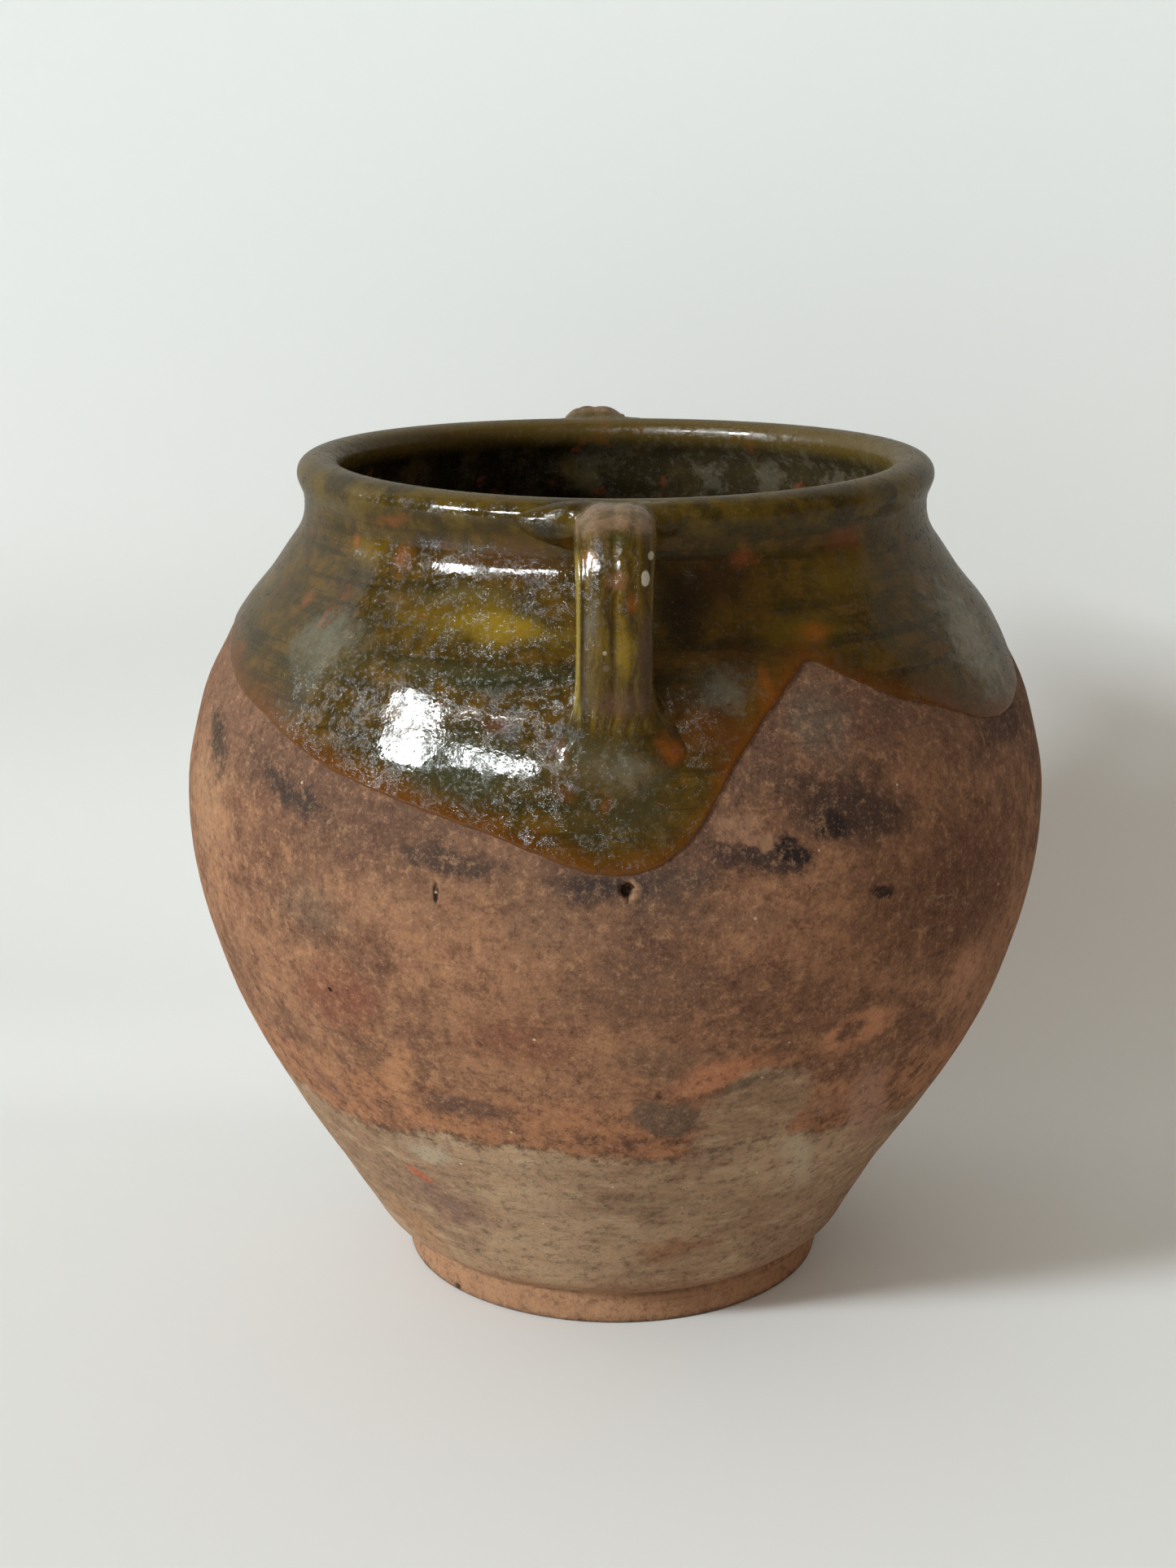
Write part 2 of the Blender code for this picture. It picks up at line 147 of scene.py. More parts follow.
def throw(name, section, steps=WHEEL_STEPS):
    """A section drawn point by point from one corner and spun round the pot's axis, as on the wheel."""
    bpy.ops.object.select_all(action="DESELECT")
    start = section[0]
    bpy.ops.mesh.primitive_plane_add(size=MM, location=(start.x, 0, start.y))
    piece = bpy.context.object
    piece.name = piece.data.name = name
    bpy.ops.object.transform_apply(location=True)
    bpy.ops.object.mode_set(mode="EDIT")
    bpy.ops.mesh.merge(type="CENTER")
    for before, after in zip(section, section[1:]):
        move = (after.x - before.x, 0, after.y - before.y)
        bpy.ops.mesh.extrude_region_move(TRANSFORM_OT_translate={"value": move})
    bpy.ops.mesh.select_all(action="SELECT")
    bpy.ops.mesh.spin(steps=steps, angle=math.tau, center=(0, 0, 0), axis=(0, 0, 1))
    bpy.ops.mesh.select_all(action="SELECT")
    bpy.ops.mesh.remove_doubles(threshold=WELD)
    bpy.ops.mesh.normals_make_consistent(inside=False)
    bpy.ops.object.mode_set(mode="OBJECT")
    bpy.ops.object.shade_smooth_by_angle(angle=CREASE)
    return piece


def settle(piece):
    for corner in piece.data.vertices:
        corner.co = settled(corner.co)
    piece.data.update()


# The inside follows every third point of the wall, and rounds into the floor
inner_wall = [point for point in reversed(beside(clay_wall[::3], -WALL)) if point.y > INSIDE_FOOT]
floor_corner = [MM * Vector(point) for point in FLOOR_CORNER]
body_section = [*foot_line[:-1], *clay_wall, *clay_rim, *inner_wall, *floor_corner]
thrown_body = throw("thrown_body", body_section)
settle(thrown_body)

# Marks in the wall: turn in degrees, then height, half width, half height and depth in millimetres (one below 0
# stands out), and how square the mark's sides are. In order: pit, scar and stone, and small pits.
MARKS = (
    (1.4, 182.4, 2.1, 2.6, 2.6, 0.8), (-21.0, 178.8, 0.8, 3.8, 0.9, 0.6), (5.2, 111.5, 1.6, 1.4, -0.7, 0.2),
    (-38.0, 138.0, 1.2, 1.0, 0.6, 0.5), (33.0, 152.0, 1.0, 1.4, 0.6, 0.5), (96.0, 170.0, 1.6, 1.3, 0.9, 0.6),
    (171.0, 128.0, 1.8, 1.4, 1.0, 0.6), (-138.0, 150.0, 1.4, 1.6, 0.8, 0.6),
)
MARK_MARGIN = 3.5 * MM
MARK_CUTS = 6
CRUMBS_A_METRE = 900
bpy.ops.object.mode_set(mode="EDIT")
bpy.ops.mesh.select_mode(type="FACE")
bpy.ops.object.mode_set(mode="OBJECT")
for degrees, height_mm, half_width, half_height, depth, square in MARKS:
    bpy.ops.object.mode_set(mode="EDIT")
    bpy.ops.mesh.select_all(action="DESELECT")
    bpy.ops.object.mode_set(mode="OBJECT")
    spot = settled(place_on_wall(degrees, height_mm))
    outward = Vector((spot.x, spot.y, 0)).normalized()
    level_way = Vector((-outward.y, outward.x, 0))
    reach = max(half_width, half_height) * MM + MARK_MARGIN
    for face in thrown_body.data.polygons:
        face.select = (face.center - spot).length < reach and face.normal.dot(outward) > 0.1
    bpy.ops.object.mode_set(mode="EDIT")
    bpy.ops.mesh.subdivide(number_cuts=MARK_CUTS)
    bpy.ops.object.mode_set(mode="OBJECT")
    for corner in thrown_body.data.vertices:
        apart = corner.co - spot
        if apart.length > reach or not corner.select:
            continue
        ragged = 1 + 0.7 * noise.noise(corner.co * CRUMBS_A_METRE)
        far = math.hypot(apart.dot(level_way) / (half_width * MM), apart.z / (half_height * MM)) * ragged
        share = ramp(1 - far, 0.0, 1.02 - square)
        corner.co = corner.co - outward * depth * MM * share
thrown_body.data.update()
bpy.ops.object.mode_set(mode="EDIT")
bpy.ops.mesh.select_mode(type="VERT")
bpy.ops.object.mode_set(mode="OBJECT")


def hue(red, green, blue):
    """A paint colour given as it looks on a screen, from 0 to 255."""
    shares = [value / 255 for value in (red, green, blue)]
    return (*[share / 12.92 if share < 0.04045 else ((share + 0.055) / 1.055) ** 2.4 for share in shares], 1.0)


def node(tree, kind, *values, **settings):
    """A shader node with its settings, fed in order by numbers, colours or the sockets of other nodes."""
    made = tree.nodes.new("ShaderNode" + kind)
    for name, value in settings.items():
        setattr(made, name, value)
    for socket, value in zip(made.inputs, values):
        if isinstance(value, bpy.types.NodeSocket):
            tree.links.new(value, socket)
        elif value is not None:
            socket.default_value = value
    return made


def fed(kind, *values, **settings):
    """What a node gives when other nodes feed it. It stands in their tree."""
    tree = next(value.id_data for value in values if isinstance(value, bpy.types.NodeSocket))
    return node(tree, kind, *values, **settings).outputs[0]


def plus(first, second):
    return fed("Math", first, second, operation="ADD")


def minus(first, second):
    return fed("Math", first, second, operation="SUBTRACT")


def times(first, second):
    return fed("Math", first, second, operation="MULTIPLY")


def rising(value, low, high, start=0.0, end=1.0):
    """Goes smoothly from start to end while the value goes from low to high."""
    return fed("MapRange", value, low, high, start, end, interpolation_type="SMOOTHSTEP")


def stretched(place, amounts):
    return fed("VectorMath", place, amounts, operation="MULTIPLY")


def axes(place):
    return node(place.id_data, "SeparateXYZ", place).outputs


def length_of(place):
    return node(place.id_data, "VectorMath", place, operation="LENGTH").outputs[1]


def cloud(place, size_mm, detail=4.0, rough=0.6):
    """Soft noise from 0 to 1, with patches about so many millimetres across."""
    return fed("TexNoise", place, None, 1000 / size_mm, detail, rough)


def over(below, above, share):
    """One colour laid over another where the share says so."""
    tree = next(value.id_data for value in (share, below) if isinstance(value, bpy.types.NodeSocket))
    mixed = tree.nodes.new("ShaderNodeMix")
    mixed.data_type = "RGBA"
    for place, value in ((0, share), (6, below), (7, above)):
        if isinstance(value, bpy.types.NodeSocket):
            tree.links.new(value, mixed.inputs[place])
        else:
            mixed.inputs[place].default_value = value
    return mixed.outputs[2]


def heaped(*layers):
    """Layers of relief on top of each other, each with its share."""
    heap = times(*layers[0])
    for layer, share in layers[1:]:
        heap = plus(heap, times(layer, share))
    return heap


def emboss(shader, relief, strength, depth):
    bump = node(relief.id_data, "Bump", strength, depth)
    relief.id_data.links.new(relief, bump.inputs["Height"])
    relief.id_data.links.new(bump.outputs[0], shader.inputs["Normal"])


PATCH_DEEP = 50 * MM


def patch(place, ragged, degrees, height_mm, half_width_mm, half_height_mm, soft=0.5, fray=0.5, tilt=0.0):
    """1 inside an oval on the wall and 0 outside, with a soft, frayed edge."""
    centre = place_on_wall(degrees, height_mm)
    turned = (0.0, math.radians(tilt), math.radians(degrees))
    size = (half_width_mm * MM, PATCH_DEEP, half_height_mm * MM)
    inside = fed("Mapping", place, centre, turned, size, vector_type="TEXTURE")
    frayed = plus(length_of(inside), times(ragged, fray))
    return rising(frayed, 1.0 - soft, 1.0, 1.0, 0.0)


def new_material(name):
    material = bpy.data.materials.new(name)
    material.use_nodes = True
    tree = material.node_tree
    shader = tree.nodes["Principled BSDF"]
    place = node(tree, "TexCoord").outputs["Object"]
    return material, tree, shader, place


CURVE_TALL_MM = 300
# Turn share from the front handle towards +X, and height in millimetres, of the poured glaze's edge
POUR_EDGE = (
    (0.0, 186.9), (0.008, 187.6), (0.016, 190.6), (0.024, 196.5), (0.0306, 204.1), (0.040, 217.6),
    (0.054, 230.4), (0.067, 239.7), (0.0745, 244.2), (0.0765, 245.0), (0.080, 244.2), (0.092, 238.9),
    (0.111, 231.1), (0.135, 224.9), (0.155, 218.6), (0.170, 216.4), (0.185, 217.4), (0.205, 220.2),
    (0.222, 226.0), (0.236, 236.0), (0.256, 245.0), (0.272, 243.0), (0.300, 231.0), (0.340, 219.0),
    (0.385, 214.0), (0.430, 206.0), (0.468, 194.0), (0.495, 190.0), (0.530, 194.5), (0.570, 206.0),
    (0.610, 217.0), (0.655, 232.0), (0.690, 242.5), (0.725, 239.5), (0.772, 236.0), (0.821, 225.8),
    (0.856, 220.2), (0.894, 210.9), (0.929, 204.4), (0.959, 198.0), (0.980, 191.5), (0.992, 187.8), (1.0, 186.9),
)


def read_off(share, points):
    """The height of a line through the points, from 0 to 1 both ways, at a share of its length."""
    line = node(share.id_data, "FloatCurve", 1.0, share)
    curve = line.mapping.curves[0]
    for across, up in points[1:-1]:
        curve.points.new(across, up)
    for point, spot in zip(curve.points, points):
        point.location = spot
        point.handle_type = "VECTOR"
    line.mapping.update()
    return line.outputs[0]


def pour_height(place):
    """Height of the glaze's edge above or below a place, in metres."""
    x, y, _ = axes(place)
    turn = times(fed("Math", x, times(y, -1.0), operation="ARCTAN2"), 1 / math.tau)
    turn = fed("Math", plus(turn, 1.0), 1.0, operation="MODULO")
    edge = read_off(turn, [(share, height / CURVE_TALL_MM) for share, height in POUR_EDGE])
    return times(edge, CURVE_TALL_MM * MM)


def wandering(place, size_mm, reach_mm):
    """The place pushed about by slow noise, so that nothing painted by it is a plain oval or line.

    Noise strays from its middle by about a quarter, so four times the reach goes in.
    """
    push = node(place.id_data, "TexNoise", place, None, 1000 / size_mm, 3.0, 0.6).outputs[1]
    push = fed("VectorMath", push, (0.5, 0.5, 0.5), operation="SUBTRACT")
    push = stretched(push, (reach_mm * MM * 4,) * 3)
    return fed("VectorMath", place, push, operation="ADD")


def bare_terracotta():
    material, tree, shader, place = new_material("bare_terracotta")
    height = axes(place)[2]
    below_pour = minus(pour_height(place), height)
    drifted = wandering(place, 26, 4.5)
    ragged = plus(cloud(place, 20, 9, 0.78), -0.5)
    flakes = plus(cloud(place, 7, 8, 0.85), -0.5)
    clumps = cloud(place, 9, 10, 0.80)
    mottles = cloud(place, 3.4, 6, 0.78)
    grain = cloud(place, 1.1, 3, 0.75)
    broad = cloud(place, 55, 4, 0.6)
    wheel = cloud(stretched(place, (0.02, 0.02, 1.0)), 1.6, 4, 0.75)
    level = plus(height, times(ragged, 0.030))

    paint = over(hue(138, 98, 72), hue(112, 78, 58), rising(broad, 0.42, 0.58))
    paint = over(paint, hue(156, 112, 78), times(rising(clumps, 0.48, 0.42), 0.55))
    paint = over(paint, hue(88, 56, 40), times(rising(clumps, 0.52, 0.60), 0.6))

    def lay(colour, strength, degrees, height_mm, wide, tall, soft=0.6, fray=1.6, tilt=0.0, edge=ragged):
        """Lays a patch of colour on the wall, by its middle and its half width and height in millimetres."""
        nonlocal paint
        share = patch(drifted, edge, degrees, height_mm, wide, tall, soft, fray, tilt)
        paint = over(paint, hue(*colour), times(share, strength))

    # smoked brown clay on the right and back, and redder, granular clay in the middle and left
    for row in (
        ((92, 62, 45), 0.85, 46, 166, 56, 40, 0.8), ((100, 68, 50), 0.7, 120, 160, 84, 50, 0.8),
        ((114, 80, 60), 0.7, 200, 150, 80, 44, 0.8), ((122, 80, 56), 0.6, -100, 165, 60, 44, 0.8),
        ((116, 70, 52), 0.85, -36, 136, 26, 16, 0.8, 2.0), ((118, 76, 56), 0.85, -13, 131, 27, 16, 0.8, 2.0),
        ((106, 76, 58), 0.75, 3, 150, 40, 18, 0.9), ((100, 76, 58), 0.7, 6, 126, 20, 10, 0.8),
        ((150, 112, 82), 0.75, -66, 188, 30, 32, 0.8, 2.2), ((146, 106, 78), 0.7, -30, 172, 34, 15, 0.8, 2.4),
        ((104, 86, 70), 0.5, -40, 164, 22, 14, 0.8, 2.4), ((140, 102, 76), 0.7, -8, 170, 26, 9, 0.8, 2.4),
        ((116, 84, 64), 0.7, 14, 172, 26, 8, 0.8, 2.0),
    ):
        lay(*row)
    # bright orange band round the lower belly, with tongues that run up from it
    band = times(rising(level, 0.079, 0.086), rising(level, 0.112, 0.103))
    paint = over(paint, hue(156, 106, 74), times(band, times(rising(clumps, 0.62, 0.44), 0.85)))
    for row in (
        ((162, 114, 80), 0.85, -28.5, 112, 9, 20, 0.6, 1.6, 8),
        ((158, 112, 80), 0.6, -45, 100, 12, 12, 0.7, 1.6), ((166, 110, 78), 0.9, 14, 119, 24, 8, 0.6, 1.3, -8),
        ((174, 118, 86), 0.9, 32, 127, 21, 10, 0.6, 1.3, -14),
        ((160, 112, 84), 0.8, 52, 134, 14, 20, 0.7, 1.4, -24), ((112, 74, 60), 0.75, -46, 96, 9, 6, 0.7, 2.0),
        ((92, 66, 54), 0.85, -20, 101, 19, 7, 0.7, 2.2, -6),
        ((80, 56, 44), 0.8, 31, 127, 8, 7, 0.8, 2.8, 40, flakes),
        ((98, 78, 62), 0.9, 7.5, 102.5, 13.5, 7.5, 0.3, 0.7, 8),
    ):
        lay(*row)
    # pale bloom of salts over the lower wall, which climbs to the right
    bloom_line = plus(height, times(ragged, 0.016))
    bloom_line = plus(bloom_line, times(plus(broad, -0.5), 0.03))
    bloom = rising(bloom_line, 0.0885, 0.085)
    climb = patch(drifted, ragged, 20, 98, 20, 22, 0.2, 1.4, -14)
    bloom = fed("Math", bloom, climb, operation="MAXIMUM")
    streaks = cloud(stretched(place, (0.35, 0.35, 1.0)), 5, 8, 0.75)
    bloom_paint = over(hue(164, 136, 107), hue(142, 113, 88), rising(broad, 0.40, 0.60))
    bloom_paint = over(bloom_paint, hue(180, 158, 126), times(rising(streaks, 0.50, 0.34), 0.6))
    bloom_paint = over(bloom_paint, hue(112, 90, 69), times(rising(streaks, 0.50, 0.66), 0.6))
    paint = over(paint, bloom_paint, times(bloom, 0.94))
    rim_of_bloom = times(rising(bloom_line, 0.0825, 0.0865), rising(bloom_line, 0.0895, 0.0870))
    paint = over(paint, hue(84, 64, 48), times(times(rim_of_bloom, rising(mottles, 0.42, 0.56)), 0.55))
    for row in (
        ((172, 158, 132), 0.7, -30, 78, 12, 7, 0.8, 2.0), ((120, 92, 78), 0.75, -30, 52, 22, 12, 0.8, 1.6, 20),
        ((112, 88, 68), 0.65, 3, 62, 20, 12, 0.9, 1.8), ((136, 94, 66), 0.75, 12, 38, 22, 8, 0.8, 1.8),
        ((150, 112, 92), 0.85, 40, 92, 14, 32, 0.7, 1.4, -28),
        ((142, 104, 80), 0.8, 30, 98, 10, 8, 0.8, 1.6, -30),
        ((172, 154, 128), 0.8, 31, 74, 9, 24, 0.9, 1.4, -34),
        ((86, 70, 54), 0.7, 17, 112, 18, 3.5, 0.8, 2.2, -10, flakes),
    ):
        lay(*row)
    oval = patch(place, ragged, -34.5, 64.5, 6.0, 2.8, 0.3, 0.4, 26)
    paint = over(paint, hue(166, 96, 68), times(oval, 0.9))
    # smoke that crept under the glaze's edge, and flaked off in places
    smoke = rising(plus(below_pour, times(ragged, 0.06)), 0.040, 0.004)
    paint = over(paint, hue(84, 64, 52), times(smoke, 0.55))
    for row in (
        ((98, 84, 70), 0.8, 27, 226, 15, 18, 0.7, 0.8), ((60, 45, 38), 0.9, 30, 204, 36, 15, 0.8, 1.6, 10),
        ((72, 54, 46), 0.8, 62, 212, 34, 11, 0.8, 1.6), ((78, 62, 52), 0.85, 4, 184, 34, 8, 0.8, 2.2),
        ((54, 43, 40), 0.8, -1, 183, 18, 6.0, 0.7, 3.0, 0, flakes),
        ((52, 44, 38), 0.85, -44, 203, 28, 5.5, 0.7, 3.4, 22, flakes),
        ((52, 44, 38), 0.8, -64, 205, 16, 12, 0.7, 3.6, 20, flakes),
        ((58, 46, 40), 0.8, -20, 189, 20, 6, 0.7, 3.0, 8, flakes),
        ((56, 42, 38), 0.9, 18, 190, 22, 8.5, 0.6, 2.4, 12, flakes),
        ((30, 25, 26), 0.95, 22.5, 191.5, 7.5, 5.0, 0.6, 2.8, 20, flakes),
        ((34, 28, 28), 0.9, 28, 199, 8.0, 5.0, 0.7, 3.0, 0, flakes),
        ((140, 104, 80), 0.95, 15.2, 199.5, 9.5, 5.5, 0.3, 2.0, 12, flakes),
        ((142, 106, 80), 0.9, 18.4, 195.0, 5.5, 3.0, 0.3, 2.0, 12, flakes),
        ((46, 32, 28), 0.95, 33.6, 174.2, 7.0, 2.8, 0.7, 2.2, 4, flakes),
        ((150, 128, 104), 0.35, 44, 166, 12, 1.0, 0.9, 1.6, 8, flakes),
    ):
        lay(*row)
    # orange clay of the foot, its lowest three millimetres painted darker, and painted shade: dark patches that
    # stand for two chips in the foot's edge, and dark in the pit, the scar and a small pit
    foot = rising(plus(height, times(ragged, 0.020)), 0.026, 0.010)
    paint = over(paint, hue(152, 110, 80), times(foot, 0.85))
    lay((156, 116, 82), 0.8, -46, 32, 20, 17, 0.8, 1.4, 34)
    # the foot's lowest three millimetres are painted darker
    darker_foot_edge = rising(plus(height, times(flakes, 0.008)), 0.0030, -0.0005)
    paint = over(paint, hue(70, 50, 38), times(darker_foot_edge, 0.75))
    groove = times(rising(height, 0.0095, 0.0110), rising(height, 0.0128, 0.0114))
    paint = over(paint, hue(84, 62, 46), times(times(groove, rising(broad, 0.42, 0.56)), 0.5))
    # painted shade: a dark patch stands for a chip in the foot's edge, which has no shape of its own
    lay((60, 42, 34), 0.9, -8.8, 3.8, 2.6, 1.6, 0.6, 1.4)
    broken_lip = patch(place, flakes, 1.8, 182.6, 4.0, 4.2, 0.5, 1.2)
    paint = over(paint, hue(150, 112, 84), times(broken_lip, 0.8))
    # painted shade: near black in the pit, the scar and a small pit, and where another chip in the foot's edge
    # would be
    for shade_in_hollow in (
        (1.4, 182.4, 2.2, 2.8), (-21.0, 178.8, 1.1, 4.2), (-46.7, 2.0, 3.2, 2.0), (-38.0, 138.0, 1.2, 1.0),
    ):
        paint = over(paint, hue(26, 18, 14), times(patch(place, flakes, *shade_in_hollow, 0.4, 0.3), 0.95))
    # sandy grain, thin wheel lines and tiny pale grits
    paint = over(paint, hue(178, 134, 100), times(rising(mottles, 0.48, 0.34), 0.42))
    paint = over(paint, hue(58, 38, 28), times(rising(mottles, 0.50, 0.66), 0.50))
    paint = over(paint, hue(186, 142, 108), times(rising(grain, 0.54, 0.74), 0.36))
    paint = over(paint, hue(48, 30, 22), times(rising(grain, 0.46, 0.26), 0.42))
    paint = over(paint, hue(64, 45, 35), times(rising(wheel, 0.58, 0.72), 0.4))
    grits = fed("TexVoronoi", place, None, 1000 / 13.0, feature="F1")
    paint = over(paint, hue(206, 186, 156), times(rising(grits, 0.045, 0.025), 0.7))
    tree.links.new(paint, shader.inputs["Base Color"])
    shader.inputs["Roughness"].default_value = 0.86
    shader.inputs["Specular IOR Level"].default_value = 0.12

    rough_oval = times(patch(drifted, ragged, 7.5, 103, 14, 8, 0.5, 0.8), cloud(place, 1.8, 3, 0.6))
    relief = heaped((mottles, 1.0), (grain, 0.45), (wheel, 0.7), (clumps, 0.8), (rough_oval, 1.6))
    emboss(shader, relief, 0.6, 0.7 * MM)
    return material


thrown_body.data.materials.append(bare_terracotta())
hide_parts("pot_body")
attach(thrown_body, "root")

# Outer glaze coat.
# Lead glass coloured by copper and iron, poured over the rim, neck and shoulder while the pot was held
# by its foot. It is half a millimetre thick and ends in a rolled, scalloped edge.
GLAZE, INTO_CLAY = 0.5 * MM, 0.3 * MM
COAT_FOOT = 186 * MM
COAT_STEPS = 384
CREST = 18
NECK_LEVEL = 270 * MM
# Heights of the coat's lowest rows above the poured edge, in millimetres, close together at its rolled lip
POUR_ROWS = (0.0, 0.12, 0.3, 0.6, 1.0, 1.6, 2.4, 3.6, 5.2)


def edge_height(turn):
    """Height of the poured edge at a turn in radians from the front handle."""
    share = (turn / math.tau) % 1.0
    for (start, low), (end, high) in zip(POUR_EDGE, POUR_EDGE[1:]):
        if start <= share <= end:
            return MM * (low + (high - low) * (share - start) / (end - start))
    return MM * POUR_EDGE[0][1]


upper_wall = [point for point in clay_wall if point.y > COAT_FOOT]
coat_line = beside([*upper_wall, *clay_rim[: CREST + 1]], GLAZE)
outer_coat = throw("outer_coat", coat_line, COAT_STEPS)

# The rows of the coat are drawn up to the poured edge, and its lip is rounded down to the clay with a roll over it
EDGE_WANDER, WANDERS_A_METRE = 0.4 * MM, 160
LIP, LIP_SUNK = 1.0 * MM, 0.05 * MM
ROLL, ROLL_HEIGHT, ROLL_HALF = 0.16 * MM, 1.8 * MM, 1.4 * MM
rows = sorted({round(corner.co.z, 7) for corner in outer_coat.data.vertices if corner.co.z < NECK_LEVEL})
row_of = {height: i for i, height in enumerate(rows)}
for corner in outer_coat.data.vertices:
    if corner.co.z >= NECK_LEVEL:
        continue
    turn = math.atan2(corner.co.x, -corner.co.y)
    level = Vector((corner.co.x, corner.co.y, 0))
    edge = edge_height(turn) + EDGE_WANDER * noise.noise(level * WANDERS_A_METRE)
    row = row_of[round(corner.co.z, 7)]
    if row < len(POUR_ROWS):
        above = POUR_ROWS[row] * MM
    else:
        first = POUR_ROWS[-1] * MM
        share = (row - len(POUR_ROWS) + 1) / (len(rows) - len(POUR_ROWS) + 1)
        above = first + (NECK_LEVEL - edge - first) * share
    height = edge + above
    lip = min(above / LIP, 1.0)
    sunk = (GLAZE + LIP_SUNK) * (1 - math.sqrt(1 - (1 - lip) ** 2))
    roll = ROLL * math.exp(-(((above - ROLL_HEIGHT) / ROLL_HALF) ** 2))
    radius = radius_at(height, coat_line, coat_line[0]) - sunk + roll
    corner.co = Vector((radius * math.sin(turn), -radius * math.cos(turn), height))
outer_coat.data.update()
settle(outer_coat)
backing = outer_coat.modifiers.new("backing", "SOLIDIFY")
backing.thickness = GLAZE + INTO_CLAY
backing.offset = -1.0
bpy.context.view_layer.objects.active = outer_coat
bpy.ops.object.modifier_apply(modifier="backing")
bpy.ops.object.shade_smooth_by_angle(angle=CREASE)


